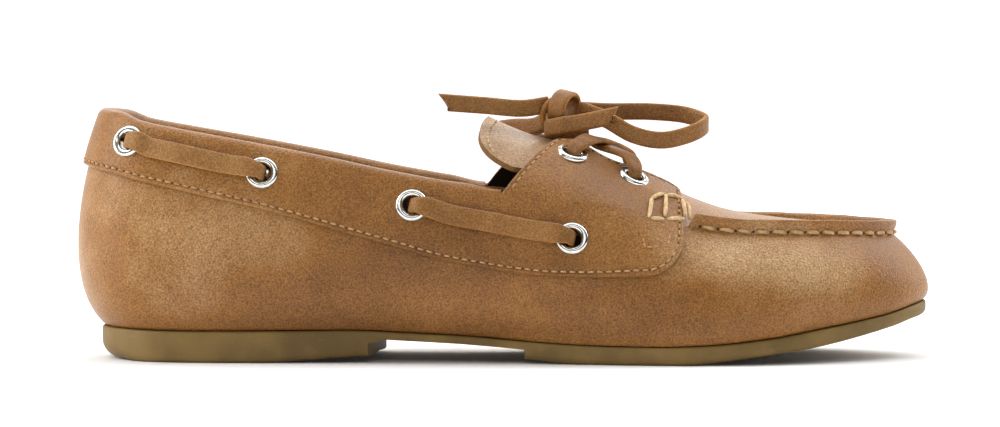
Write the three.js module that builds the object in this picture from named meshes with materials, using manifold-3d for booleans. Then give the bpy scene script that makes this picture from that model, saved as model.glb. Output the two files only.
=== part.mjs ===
// A slim right boat shoe in brown leather: a moccasin upper with a raised toe seam, a quarter overlay with
// lacing flaps, a tongue, twelve metal eyelets, flat leather laces tied in a bow, an insole and a moulded sole.
// Millimetres. +X runs from heel to toe, -Y is the outer side of the foot, +Z is up, and the floor is Z = 0.
import * as THREE from 'three';
import { mergeVertices } from 'three/addons/utils/BufferGeometryUtils.js';
import Module from 'manifold-3d';

const wasm = await Module();
wasm.setup();

// Lengths and widths of the foot form
const shoeLength = 250; // back of the heel's swell to the tip of the toe
const heelOverhang = 6.6; // how far the heel of the upper stands behind the sole
const toeOverhang = 0.8; // how far the tip of the upper stands in front of the sole
const ballWidth = 77;
const waistWidth = 50;
const heelWidth = 56.5;
const toeSwing = 4; // the toe's turn towards the big toe
const collarWidth = 58; // topline, measured over its widest stretch
const apronWidth = 53; // between the two sides of the toe seam

// Heights above the floor
const heelHeight = 9.2; // top of the sole under the heel
const heelRise = 1.9; // the heel block's underside lifts by this at its front
const ballThickness = 5.2;
const toeSpring = 12.4;
const toeThickness = 4.3;
const toeLift = toeSpring + toeThickness;
const collarHeight = 71; // topline at the back of the heel, under the folded band
const collarDip = 48.9; // topline at its lowest, beside the lacing flaps
const seamHeight = 37; // toe seam along the side
const instepHeight = 63.7; // crown of the form at the rear end of the lacing flaps

// Leathers and clearances
const upperWall = 2.2; // leather with its lining
const overlayWall = 1.5;
const tongueWall = 2;
const flapLift = 0.6; // extra lift of the lacing flaps, which have a lining and the tongue under them
const gap = 0.3; // between pieces that lie against each other
const featherInset = 0.8; // the upper's foot stands in from the sole's edge
const insoleThickness = 3;
const ridgeHeight = 4.4; // raised toe seam
const ridgeWidth = 2.8;

// Sole
const waistThickness = 2.3;
const heelCorner = 6; // rounding at the back of the heel
const soleEdgeCorner = 2;
const breastAt = -40; // front face of the heel block, along the shoe
const treadStepAt = 5.6; // rear step of the forefoot tread
const breastSkew = 4; // the heel block reaches this much further forward on the inner side
const breastCurve = 2.4;
const waistTopCorner = 2.2;

// Metal and laces
const eyeletFlange = 4.75; // radius
const eyeletHole = 2.6; // radius
const eyeletTube = 0.35; // wall of the barrel
const eyeletDome = 1; // height of the rolled flange
const laceWidth = 5;
const laceThickness = 1.6;
const laceGap = 9; // half of the opening between the lacing flaps

const xBack = -shoeLength / 2;
const soleBack = xBack + heelOverhang;
const soleLength = shoeLength - heelOverhang - toeOverhang;

// Interpolation through the rows of a table, smooth and without overshoot.
function through(points, x) {
  const n = points.length;
  if (x <= points[0][0]) return points[0][1];
  if (x >= points[n - 1][0]) return points[n - 1][1];
  let i = 0;
  while (x > points[i + 1][0]) i += 1;
  const secant = (k) => (points[k + 1][1] - points[k][1]) / (points[k + 1][0] - points[k][0]);
  const slope = (k) => {
    if (k === 0) return secant(0);
    if (k === n - 1) return secant(n - 2);
    const [before, after] = [secant(k - 1), secant(k)];
    return before * after <= 0 ? 0 : (2 * before * after) / (before + after);
  };
  const width = points[i + 1][0] - points[i][0];
  const t = (x - points[i][0]) / width;
  const [a, b] = [points[i][1], points[i + 1][1]];
  const [ma, mb] = [slope(i) * width, slope(i + 1) * width];
  const [fromA, fromB] = [(1 + 2 * t) * (1 - t) ** 2, t * t * (3 - 2 * t)];
  return a * fromA + b * fromB + ma * t * (1 - t) ** 2 + mb * t * t * (t - 1);
}

const mix = (a, b, t) => a + (b - a) * t;
const clamp01 = (t) => Math.min(1, Math.max(0, t));
const ease = (from, to, x) => {
  const t = clamp01((x - from) / (to - from));
  return t * t * (3 - 2 * t);
};
// An angle goes once round the foot: 0 at the heel, half a turn at the toe, and back on the inner side.
const angleOf = (share) => Math.acos(1 - 2 * share);
const shareOf = (angle) => (1 - Math.cos(angle)) / 2;
const isOuter = (angle) => Math.sin(angle) >= 0;
const halfTurn = (angle) => Math.acos(Math.cos(angle)); // the same station on the outer side

// Plan of the sole: at = share of its length, half = half width as a share of the named width beside it,
// centre = the middle's shift to the inner side, as a share of the ball width.
const soleRows = [
  { at: 0.02, of: heelWidth, half: 0.275, centre: 0 },
  { at: 0.05, of: heelWidth, half: 0.395, centre: 0 },
  { at: 0.1, of: heelWidth, half: 0.472, centre: 0 },
  { at: 0.17, of: heelWidth, half: 0.498, centre: -0.001 },
  { at: 0.27, of: heelWidth, half: 0.475, centre: -0.01 },
  { at: 0.37, of: waistWidth, half: 0.496, centre: -0.025 },
  { at: 0.47, of: waistWidth, half: 0.5, centre: -0.05 },
  { at: 0.57, of: ballWidth, half: 0.375, centre: -0.069 },
  { at: 0.66, of: ballWidth, half: 0.448, centre: -0.052 },
  { at: 0.73, of: ballWidth, half: 0.489, centre: -0.016 },
  { at: 0.8, of: ballWidth, half: 0.478, centre: 0.017 },
  { at: 0.87, of: ballWidth, half: 0.41, centre: 0.039 },
  { at: 0.93, of: ballWidth, half: 0.31, centre: 0.049 },
  { at: 0.97, of: ballWidth, half: 0.204, centre: 0.051 },
  { at: 0.99, of: ballWidth, half: 0.117, centre: 0.052 },
];

// Half widths rise from nothing at the heel and fall to nothing at the toe, so the outline closes round.
function halfWidths(rows, width) {
  const inner = rows.map((row) => [angleOf(row.at), width(row)]);
  const mirrored = (turn) => inner.slice().reverse().map(([angle, half]) => [turn - angle, -half]);
  return [...mirrored(0), [0, 0], ...inner, [Math.PI, 0], ...mirrored(2 * Math.PI)];
}
const soleHalf = halfWidths(soleRows, (row) => row.half * row.of);
const soleCentre = [...soleRows.map((row) => [row.at, row.centre * ballWidth]), [1, toeSwing]];

function solePoint(angle) {
  const share = shareOf(angle);
  const centre = through(soleCentre, share);
  const half = through(soleHalf, halfTurn(angle));
  return new THREE.Vector2(soleBack + soleLength * share, centre + (isOuter(angle) ? -half : half));
}

// Outward direction of the sole's outline in plan.
function soleNormal(angle) {
  const step = 0.01;
  const along = solePoint(angle + step).sub(solePoint(angle - step));
  return new THREE.Vector2(along.y, -along.x).normalize();
}
const soleInset = (angle, inset) => solePoint(angle).addScaledVector(soleNormal(angle), -inset);

// Side view of the sole: heights as shares of the named height beside them.
const soleTopRows = [
  { at: 0, of: heelHeight, z: 1.03 },
  { at: 0.1, of: heelHeight, z: 0.99 },
  { at: 0.2, of: heelHeight, z: 1 },
  { at: 0.3, of: heelHeight, z: 1.02 },
  { at: 0.37, of: heelHeight, z: 0.94 },
  { at: 0.45, of: heelHeight, z: 0.83 },
  { at: 0.52, of: ballThickness, z: 1.2 },
  { at: 0.6, of: ballThickness, z: 1.03 },
  { at: 0.67, of: ballThickness, z: 1 },
  { at: 0.73, of: ballThickness, z: 1.1 },
  { at: 0.8, of: toeLift, z: 0.44 },
  { at: 0.86, of: toeLift, z: 0.58 },
  { at: 0.91, of: toeLift, z: 0.7 },
  { at: 0.95, of: toeLift, z: 0.81 },
  { at: 0.98, of: toeLift, z: 0.93 },
  { at: 1, of: toeLift, z: 1 },
];
const soleFootRows = [
  { at: 0, of: heelRise, z: 0 },
  { at: 0.19, of: heelRise, z: 0 },
  { at: 0.25, of: heelRise, z: 0.36 },
  { at: 0.33, of: heelRise, z: 1 },
  { at: 0.42, of: heelRise, z: 1 },
  { at: 0.52, of: heelRise, z: 0.6 },
  { at: 0.545, of: heelRise, z: 0.22 },
  { at: 0.58, of: heelRise, z: 0 },
  { at: 0.7, of: toeSpring, z: 0 },
  { at: 0.742, of: toeSpring, z: 0.075 },
  { at: 0.795, of: toeSpring, z: 0.2 },
  { at: 0.854, of: toeSpring, z: 0.355 },
  { at: 0.885, of: toeSpring, z: 0.47 },
  { at: 0.957, of: toeSpring, z: 0.8 },
  { at: 0.98, of: toeSpring, z: 0.93 },
  { at: 1, of: toeSpring, z: 1 },
];
const heights = (rows) => rows.map((row) => [row.at, row.z * row.of]);
const soleTopLine = heights(soleTopRows);
const soleFootLine = heights(soleFootRows);
const soleTop = (x) => through(soleTopLine, (x - soleBack) / soleLength);
const soleFoot = (x) => through(soleFootLine, (x - soleBack) / soleLength);

// The shoulder line: the topline round the heel, then the toe seam round the front. lateral and medial are
// shares of the named width, z a share of the named height, slide a share of the toe's set-back.
const toeSetBack = 9.4; // toe seam behind the sole's tip
const collarRow = (at, lateral, medial, height, z, slide = 0) =>
  ({ at, width: collarWidth, lateral, medial, height, z, slide });
const seamRow = (at, lateral, medial, z, slide) =>
  ({ at, width: apronWidth, lateral, medial, height: seamHeight, z, slide });
const shoulderRows = [
  collarRow(0, 0, 0, collarHeight, 0.994, -0.06),
  collarRow(0.02, 0.235, 0.235, collarHeight, 0.985, -0.06),
  collarRow(0.05, 0.332, 0.332, collarHeight, 0.948, -0.04),
  collarRow(0.1, 0.397, 0.397, collarHeight, 0.915, -0.02),
  collarRow(0.17, 0.43, 0.43, collarHeight, 0.873),
  collarRow(0.27, 0.462, 0.455, collarHeight, 0.808),
  collarRow(0.37, 0.491, 0.472, collarDip, 1.07),
  collarRow(0.44, 0.507, 0.48, collarDip, 1.014),
  collarRow(0.49, 0.515, 0.483, collarDip, 0.995),
  collarRow(0.55, 0.52, 0.483, collarDip, 0.97),
  seamRow(0.6, 0.56, 0.525, 1.235, 0),
  seamRow(0.65, 0.54, 0.52, 1.15, 0),
  seamRow(0.7, 0.515, 0.51, 1.07, 0.01),
  seamRow(0.74, 0.505, 0.51, 1.025, 0.04),
  seamRow(0.79, 0.49, 0.515, 1, 0.12),
  seamRow(0.84, 0.448, 0.502, 0.995, 0.26),
  seamRow(0.9, 0.35, 0.436, 0.985, 0.5),
  seamRow(0.95, 0.22, 0.34, 0.975, 0.76),
  seamRow(0.98, 0.105, 0.24, 0.966, 0.92),
  seamRow(1, -0.07, 0.07, 0.963, 1),
];
const byAngle = (rows, value) => rows.map((row) => [angleOf(row.at), value(row)]);
const shoulderLateral = byAngle(shoulderRows, (row) => -row.lateral * row.width);
const shoulderMedial = byAngle(shoulderRows, (row) => row.medial * row.width);
const shoulderZ = shoulderRows.map((row) => [row.at, row.z * row.height]);
const shoulderSlide = shoulderRows.map((row) => [row.at, -row.slide * toeSetBack]);
function shoulder(angle) {
  const share = shareOf(angle);
  return new THREE.Vector3(
    soleBack + soleLength * share + through(shoulderSlide, share),
    through(isOuter(angle) ? shoulderLateral : shoulderMedial, halfTurn(angle)),
    through(shoulderZ, share),
  );
}

// How the wall swells between the sole and the shoulder line: how far the form stands out low and high,
// as shares of the heel's or the ball's width, and at what share of the wall's height.
const swellRows = [
  { at: 0, of: heelWidth, low: 0.205, lowAt: 0.16, high: 0.16, highAt: 0.6 },
  { at: 0.08, of: heelWidth, low: 0.165, lowAt: 0.15, high: 0.155, highAt: 0.6 },
  { at: 0.2, of: heelWidth, low: 0.125, lowAt: 0.18, high: 0.14, highAt: 0.6 },
  { at: 0.34, of: heelWidth, low: 0.125, lowAt: 0.22, high: 0.12, highAt: 0.62 },
  { at: 0.48, of: ballWidth, low: 0.1, lowAt: 0.24, high: 0.08, highAt: 0.68 },
  { at: 0.6, of: ballWidth, low: 0.082, lowAt: 0.25, high: 0.105, highAt: 0.72 },
  { at: 0.72, of: ballWidth, low: 0.078, lowAt: 0.25, high: 0.13, highAt: 0.78 },
  { at: 0.84, of: ballWidth, low: 0.07, lowAt: 0.24, high: 0.13, highAt: 0.78 },
  { at: 0.93, of: ballWidth, low: 0.055, lowAt: 0.2, high: 0.09, highAt: 0.74 },
  { at: 1, of: ballWidth, low: 0.058, lowAt: 0.17, high: 0.092, highAt: 0.7 },
];
const swell = (name, scaled) => swellRows.map((row) => [row.at, row[name] * (scaled ? row.of : 1)]);
const lowOut = swell('low', true);
const lowAt = swell('lowAt', false);
const highOut = swell('high', true);
const highAt = swell('highAt', false);

const bezier = (a, b, c, d, t) =>
  new THREE.Vector3()
    .addScaledVector(a, (1 - t) ** 3)
    .addScaledVector(b, 3 * (1 - t) ** 2 * t)
    .addScaledVector(c, 3 * (1 - t) * t * t)
    .addScaledVector(d, t ** 3);

function feather(angle) {
  const foot = soleInset(angle, featherInset);
  return new THREE.Vector3(foot.x, foot.y, soleTop(foot.x) + gap);
}

// The form from the sole's edge, rise 0, to the shoulder line, rise 1.
function wallPoint(angle, rise) {
  const share = shareOf(angle);
  const [foot, top] = [feather(angle), shoulder(angle)];
  const out = soleNormal(angle);
  const tall = top.z - foot.z;
  const low = foot.clone().add(new THREE.Vector3(out.x, out.y, 0).multiplyScalar(through(lowOut, share)));
  low.z += tall * through(lowAt, share);
  const high = top.clone().add(new THREE.Vector3(out.x, out.y, 0).multiplyScalar(through(highOut, share)));
  high.z = foot.z + tall * through(highAt, share);
  return bezier(foot, low, high, top, rise);
}

// The crown: the form's top line over the instep and the apron. x as a share of the sole's length.
const flapRearShare = 0.485; // station where the lacing flap leaves the topline
const flapFrontShare = 0.7; // station of the flap's front edge
const crownRear = 12.5; // where that station's rib meets the crown
const crownFront = 101; // where the ribs round the toe meet
// along = share of the way from the flaps' rear end to where the ribs round the toe meet.
const crownRows = [
  { along: -0.339, of: instepHeight, z: 1.13 },
  { along: -0.1582, of: instepHeight, z: 1.062 },
  { along: 0, of: instepHeight, z: 1 },
  { along: 0.0847, of: instepHeight, z: 0.966 },
  { along: 0.1751, of: instepHeight, z: 0.92 },
  { along: 0.2655, of: instepHeight, z: 0.868 },
  { along: 0.3559, of: instepHeight, z: 0.812 },
  { along: 0.4441, of: seamHeight, z: 1.3 },
  { along: 0.5085, of: seamHeight, z: 1.235 },
  { along: 0.5819, of: seamHeight, z: 1.175 },
  { along: 0.6723, of: seamHeight, z: 1.13 },
  { along: 0.8079, of: seamHeight, z: 1.09 },
  { along: 1, of: seamHeight, z: 1.045 },
];
const crownLine = crownRows.map((row) => [mix(crownRear, crownFront, row.along), row.z * row.of]);

// How steeply a rib leaves the shoulder, and how far it runs level at the crown.
const ribRows = [
  { at: 0.38, up: 0.5, inward: 0.12, level: 0.5 },
  { at: 0.5, up: 0.5, inward: 0.14, level: 0.5 },
  { at: 0.6, up: 0.42, inward: 0.2, level: 0.48 },
  { at: 0.68, up: 0.34, inward: 0.3, level: 0.4 },
  { at: 0.76, up: 0.3, inward: 0.3, level: 0.4 },
  { at: 1, up: 0.3, inward: 0.3, level: 0.4 },
];
const ribUp = ribRows.map((row) => [row.at, row.up]);
const ribIn = ribRows.map((row) => [row.at, row.inward]);
const ribLevel = ribRows.map((row) => [row.at, row.level]);

function crown(share) {
  const x = mix(crownRear, crownFront, (share - flapRearShare) / (1 - flapRearShare));
  return new THREE.Vector3(x, toeSwing * ease(crownRear, crownFront, x) * 0.9, through(crownLine, x));
}

// The form from the shoulder line, over 0, to the crown, over 1.
function domePoint(angle, over) {
  const share = shareOf(angle);
  const [start, end] = [shoulder(angle), crown(share)];
  const span = end.clone().sub(start);
  const first = start.clone();
  first.x += span.x * through(ribIn, share);
  first.y += span.y * through(ribIn, share);
  first.z += span.z * through(ribUp, share);
  const second = end.clone();
  second.x -= span.x * through(ribLevel, share);
  second.y -= span.y * through(ribLevel, share);
  return bezier(start, first, second, end, over);
}

// One function for the whole form: height 0 to 1 is the wall and 1 to 2 the dome.
const formPoint = (angle, height) => (height <= 1 ? wallPoint(angle, height) : domePoint(angle, height - 1));

// Outward direction of the form. side picks the wall or the dome where the two meet.
function formNormal(angle, height, side = height > 1 ? 'dome' : 'wall') {
  const [turn, climb] = [0.012, 0.02];
  const [low, high] = side === 'wall' ? [0, 1] : [1, 2 - climb / 2];
  const middle = Math.min(high - climb / 2, Math.max(low + climb / 2, height));
  const point = side === 'wall' ? wallPoint : (a, h) => domePoint(a, h - 1);
  const along = point(angle + turn, middle).sub(point(angle - turn, middle));
  const up = point(angle, middle + climb / 2).sub(point(angle, middle - climb / 2));
  return along.cross(up).normalize();
}
const offForm = (angle, height, off, side) =>
  formPoint(angle, height).addScaledVector(formNormal(angle, height, side), off);

const fromPositions = (positions) =>
  new THREE.BufferGeometry().setAttribute('position', new THREE.Float32BufferAttribute(positions, 3));

// A closed sheet from two grids of points, outer and inner: outer[column][row]. Only the cells that
// present(column, row) accepts are built, and the sheet's own edge closes it wherever a cell has no neighbour.
// joinsOnTop leaves the last row without an edge, where the columns of both sides meet.
function sheetGeometry(outer, inner, wraps, present = () => true, joinsOnTop = false) {
  const columns = outer.length;
  const rows = outer[0].length;
  const cells = wraps ? columns : columns - 1;
  const positions = [];
  const next = (c) => (c + 1) % columns;
  const has = (c, r) => {
    if (r < 0 || r >= rows - 1) return false;
    if (!wraps && (c < 0 || c >= cells)) return false;
    return present(((c % cells) + cells) % cells, r);
  };
  const quad = (a, b, c, d) => [a, b, c, a, c, d].forEach((p) => positions.push(p.x, p.y, p.z));
  for (let c = 0; c < cells; c += 1) {
    for (let r = 0; r < rows - 1; r += 1) {
      if (!has(c, r)) continue;
      const n = next(c);
      quad(outer[c][r], outer[n][r], outer[n][r + 1], outer[c][r + 1]);
      quad(inner[c][r], inner[c][r + 1], inner[n][r + 1], inner[n][r]);
      if (!has(c, r - 1)) quad(outer[c][r], inner[c][r], inner[n][r], outer[n][r]);
      const open = joinsOnTop && r === rows - 2;
      if (!has(c, r + 1) && !open) quad(outer[c][r + 1], outer[n][r + 1], inner[n][r + 1], inner[c][r + 1]);
      if (!has(c - 1, r)) quad(outer[c][r], outer[c][r + 1], inner[c][r + 1], inner[c][r]);
      if (!has(c + 1, r)) quad(outer[n][r], inner[n][r], inner[n][r + 1], outer[n][r + 1]);
    }
  }
  return fromPositions(positions);
}

// Manifold solids, for cutting and joining.
const mergeDistance = 1e-3;
function toSolid(geometry) {
  const bare = geometry.index ? geometry.toNonIndexed() : geometry.clone();
  ['normal', 'uv', 'uv1'].forEach((name) => bare.deleteAttribute(name));
  const merged = mergeVertices(bare, mergeDistance);
  const corners = merged.index.array;
  const kept = [];
  for (let i = 0; i < corners.length; i += 3) {
    const [a, b, c] = [corners[i], corners[i + 1], corners[i + 2]];
    if (a !== b && b !== c && a !== c) kept.push(a, b, c);
  }
  return new wasm.Manifold(
    new wasm.Mesh({
      numProp: 3,
      vertProperties: new Float32Array(merged.attributes.position.array),
      triVerts: new Uint32Array(kept),
    }),
  );
}

function toGeometry(solid) {
  const mesh = solid.getMesh();
  const positions = new Float32Array(mesh.numVert * 3);
  for (let i = 0; i < mesh.numVert; i += 1) {
    positions.set(mesh.vertProperties.subarray(i * mesh.numProp, i * mesh.numProp + 3), i * 3);
  }
  const geometry = new THREE.BufferGeometry();
  geometry.setAttribute('position', new THREE.BufferAttribute(positions, 3));
  geometry.setIndex(new THREE.BufferAttribute(new Uint32Array(mesh.triVerts), 1));
  geometry.computeVertexNormals();
  return geometry;
}

const outward = (geometry) => {
  const solid = toSolid(geometry);
  if (solid.volume() > 0) return solid;
  const flipped = geometry.index ? geometry.toNonIndexed() : geometry.clone();
  const p = flipped.attributes.position;
  for (let i = 0; i < p.count; i += 3) {
    const [x, y, z] = [p.getX(i), p.getY(i), p.getZ(i)];
    p.setXYZ(i, p.getX(i + 1), p.getY(i + 1), p.getZ(i + 1));
    p.setXYZ(i + 1, x, y, z);
  }
  return toSolid(flipped);
};

// Stations from heel to toe on one side, shared by the upper and the overlay so that their faces run level.
const flapCorner = 10; // radius of the flap's lower front corner
const throatShare = flapFrontShare - flapCorner / soleLength; // the throat's edge, under the flaps' front
const ridgeStart = flapFrontShare + 0.004; // the toe seam starts to rise here
const ridgeRunUp = 0.012; // share of the length over which it reaches its height
const innerFlapReach = 0.019; // the inner flap's rear edge stands this share of the length further back
const rearAngles = { outer: angleOf(flapRearShare), inner: angleOf(flapRearShare - innerFlapReach) };
const sideOf = (angle) => (isOuter(angle) ? 'outer' : 'inner');
const foldEnd = (side) => rearAngles[side] - 0.008; // the collar's fold stops this much before the flap
const evenly = (from, to, count) => Array.from({ length: count }, (_, i) => mix(from, to, i / count));
const collarAngles = (side) => evenly(0, foldEnd(side), 13);
function flapAngles(side) {
  const angles = [foldEnd(side), ...evenly(rearAngles[side], angleOf(throatShare), 5)];
  for (let k = 4; k >= 0; k -= 1) {
    angles.push(angleOf(flapFrontShare - (flapCorner * (1 - Math.cos((k * Math.PI) / 8))) / soleLength));
  }
  return angles;
}
const toeAngles = [
  ...evenly(angleOf(ridgeStart), angleOf(ridgeStart + ridgeRunUp), 2),
  ...evenly(angleOf(ridgeStart + ridgeRunUp), Math.PI, 9),
];
const sideAngles = (side) => [...collarAngles(side), ...flapAngles(side), ...toeAngles];
const otherSide = (angles) => angles.slice(1).reverse().map((angle) => 2 * Math.PI - angle);
const anglesRound = [...sideAngles('outer'), Math.PI, ...otherSide(sideAngles('inner'))];
const wallSteps = 7;
const domeSteps = 5;

// Upper: wall, raised toe seam and apron, as one hollow shell, open at the topline, the throat and the foot.
function upperSolid() {
  const angles = anglesRound;
  // Under the flaps the opening's edge runs below the shoulder line, down to the throat's corner.
  const edgeRise = (angle) => {
    const share = shareOf(angle);
    const shy = mix(1, 0.93, ease(flapRearShare, throatShare, share));
    return share >= throatShare - 1e-6 ? 1 : shy;
  };
  const raised = (angle) => ease(ridgeStart, ridgeStart + ridgeRunUp, shareOf(angle));
  const column = (angle, off, ridge) => {
    const points = [];
    for (let i = 0; i <= wallSteps; i += 1) {
      const rise = (edgeRise(angle) * i) / wallSteps;
      const point = offForm(angle, rise, off, 'wall');
      if (i === 0) point.z = feather(angle).z;
      points.push(point);
    }
    const top = points[wallSteps];
    const out = soleNormal(angle);
    const tall = ridgeHeight * raised(angle) * ridge;
    const up = new THREE.Vector3(out.x * 0.18, out.y * 0.18, 1).multiplyScalar(tall);
    const across = new THREE.Vector3(-out.x, -out.y, 0).multiplyScalar(ridgeWidth * raised(angle));
    points.push(top.clone().add(up), top.clone().add(up).add(across));
    for (let i = 0; i <= domeSteps; i += 1) {
      const over = i / domeSteps;
      const onDome = offForm(angle, 1 + over, off, 'dome');
      const shift = across.clone().multiplyScalar((1 - over) ** 2);
      points.push(i === 0 ? top.clone().add(across) : onDome.add(shift));
    }
    return points;
  };
  const outer = angles.map((angle) => column(angle, 0, 1));
  const inner = angles.map((angle) => column(angle, -upperWall, 0));
  // The crown's points are shared by both sides.
  const last = outer[0].length - 1;
  angles.forEach((angle, i) => {
    const top = crown(shareOf(angle));
    outer[i][last] = top;
    inner[i][last] = top.clone().setZ(top.z - upperWall);
  });
  const count = angles.length;
  const inThroat = (c) => {
    const middle = (angles[c] + (angles[(c + 1) % count] || 2 * Math.PI)) / 2;
    return shareOf(middle) < throatShare;
  };
  const present = (c, r) => r < wallSteps || !inThroat(c);
  return outward(sheetGeometry(outer, inner, true, present, true));
}

// Rise on the wall, or height on the whole form, at which it reaches z.
function heightAtZ(angle, z, top = 2) {
  let [low, high] = [0, top];
  for (let i = 0; i < 24; i += 1) {
    const middle = (low + high) / 2;
    if (formPoint(angle, middle).z < z) low = middle;
    else high = middle;
  }
  return (low + high) / 2;
}
// A rounded corner: how much an edge gives way at a distance from the corner's end.
const cornerDrop = (distance, radius) =>
  distance >= radius ? 0 : radius - Math.sqrt(Math.max(0, radius ** 2 - (radius - distance) ** 2));

// Quarter overlay: lower edge of the band and flaps, z as a share of the height beside it.
const bandHeelZ = 56.4; // lower edge at the back of the heel
const bandFlapZ = 25.2; // lower edge under the lacing flaps
const flapTopCorner = 5; // corners beside the lacing
const overlayGap = 0.38; // between the upper and the overlay's inside
const foldDepth = 3; // how far the folded topline reaches down inside
const bandRows = [
  { at: 0, of: bandHeelZ, z: 1 },
  { at: 0.03, of: bandHeelZ, z: 0.965 },
  { at: 0.066, of: bandHeelZ, z: 0.92 },
  { at: 0.126, of: bandHeelZ, z: 0.86 },
  { at: 0.2, of: bandHeelZ, z: 0.785 },
  { at: 0.257, of: bandHeelZ, z: 0.72 },
  { at: 0.311, of: bandHeelZ, z: 0.654 },
  { at: 0.364, of: bandFlapZ, z: 1.33 },
  { at: 0.411, of: bandFlapZ, z: 1.206 },
  { at: 0.458, of: bandFlapZ, z: 1.119 },
  { at: 0.506, of: bandFlapZ, z: 1.052 },
  { at: 0.553, of: bandFlapZ, z: 1.008 },
  { at: 0.6, of: bandFlapZ, z: 1 },
  { at: 0.66, of: bandFlapZ, z: 1.012 },
  { at: 0.72, of: bandFlapZ, z: 1.05 },
];
const bandLine = heights(bandRows);
const bandSteps = 4;
const foldTurns = [0.25, 0.5, 0.75, 1]; // shares of the half turn over the topline
const flapSteps = foldTurns.length + 1;

// The flaps stand off the tongue, most at their rear upper corner, and are thicker along their front edge.
const cornerLift = 2.1;
const frontPad = 1.1;
const flapLiftAt = (share, height) =>
  flapLift * ease(0.98, 1.25, height) * (1 - 0.5 * ease(0.6, 0.65, share)) +
  cornerLift * ease(1.2, 1.75, height) * (1 - ease(0.5, 0.61, share));
const flapPadAt = (share, height) => frontPad * ease(0.6, 0.66, share) * ease(1.05, 1.35, height);
const overlayOff = (angle, height) =>
  gap + overlayWall + flapLiftAt(shareOf(angle), height) + flapPadAt(shareOf(angle), height);

// The flap's rear edge leans forward: higher up, a column stands on a station further along.
const flapLean = 0.045;
function leanAngle(angle, height) {
  const share = shareOf(angle);
  const rear = shareOf(rearAngles[sideOf(angle)]);
  const leaned = angleOf(share + flapLean * Math.max(0, height - 1) * (1 - ease(rear, 0.62, share)));
  return isOuter(angle) ? leaned : 2 * Math.PI - leaned;
}

// Height on a flap's column at which it reaches the lacing gap.
function flapEdge(angle) {
  const share = shareOf(angle);
  const x = crown(share).x;
  const rearwards = x - crown(shareOf(rearAngles[sideOf(angle)])).x;
  const forwards = crown(flapFrontShare).x - x;
  const corner = Math.max(cornerDrop(rearwards, flapTopCorner), cornerDrop(forwards, flapTopCorner));
  let [low, high] = [1, 2];
  for (let i = 0; i < 24; i += 1) {
    const middle = (low + high) / 2;
    const aside = Math.abs(formPoint(leanAngle(angle, middle), middle).y - crown(share).y);
    if (aside > laceGap + corner) low = middle;
    else high = middle;
  }
  return low;
}

// pad = 1 for the outside of the overlay and 0 for its inside.
const foldFlat = 0.5; // the fold sinks to this share of its height where it meets the flap
function bandColumn(angle, off, folded, pad) {
  const share = shareOf(angle);
  const ahead = (flapFrontShare - share) * soleLength;
  const low = heightAtZ(angle, through(bandLine, share) + cornerDrop(ahead, flapCorner), 1);
  const points = [];
  for (let i = 0; i <= bandSteps; i += 1) points.push(offForm(angle, mix(low, 1, i / bandSteps), off, 'wall'));
  const out = formNormal(angle, 1, 'wall');
  if (folded) {
    const up = wallPoint(angle, 1).sub(wallPoint(angle, 0.96)).normalize();
    const centre = shoulder(angle).addScaledVector(out, -upperWall / 2);
    const radius = upperWall / 2 + off;
    const end = foldEnd(sideOf(angle));
    const tall = radius * mix(1, foldFlat, ease(end - 0.09, end, halfTurn(angle)));
    for (const turn of foldTurns) {
      const [along, over] = [Math.cos(Math.PI * turn) * radius, Math.sin(Math.PI * turn) * tall];
      points.push(centre.clone().addScaledVector(out, along).addScaledVector(up, over));
    }
    points.push(centre.clone().addScaledVector(out, -radius).addScaledVector(up, -foldDepth));
    return points;
  }
  const edge = flapEdge(angle);
  points[bandSteps] = shoulder(angle).addScaledVector(out.add(formNormal(angle, 1, 'dome')).normalize(), off);
  for (let i = 1; i <= flapSteps; i += 1) {
    const height = mix(1, edge, i / flapSteps);
    const spot = leanAngle(angle, height);
    points.push(offForm(spot, height, off + flapLiftAt(share, height) + pad * flapPadAt(share, height), 'dome'));
  }
  return points;
}

function overlaySolid() {
  const oneSide = (side) => [...collarAngles(side), ...flapAngles(side)];
  const inner = oneSide('inner').slice(1).map((angle) => 2 * Math.PI - angle);
  const angles = [...oneSide('outer').reverse(), ...inner];
  const folded = angles.map((angle) => halfTurn(angle) < rearAngles[sideOf(angle)] - 1e-6);
  const outside = angles.map((angle, i) => bandColumn(angle, gap + overlayWall, folded[i], 1));
  const inside = angles.map((angle, i) => bandColumn(angle, overlayGap, folded[i], 0));
  const present = (c, r) => r < bandSteps || folded[c] === folded[c + 1];
  return outward(sheetGeometry(outside, inside, false, present));
}

// Tongue: follows the form under the throat's edge and the flaps, and flares where it ends.
const tongueFrontShare = 0.74;
const tongueEdge = 0.3; // height above the shoulder line where the tongue's sides stop, at its front
const tongueTaper = 0.05; // its sides stop this much higher at the rear
const tongueReach = 17.5; // free end, measured along the shoe from the flaps' rear end
const tongueFlare = 6.6; // how much the free end rises over that length
const tongueDepth = (share) =>
  mix(0.4, -(upperWall + gap), ease(0.56, 0.645, share)) - 0.6 * ease(0.68, 0.72, share);

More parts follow.
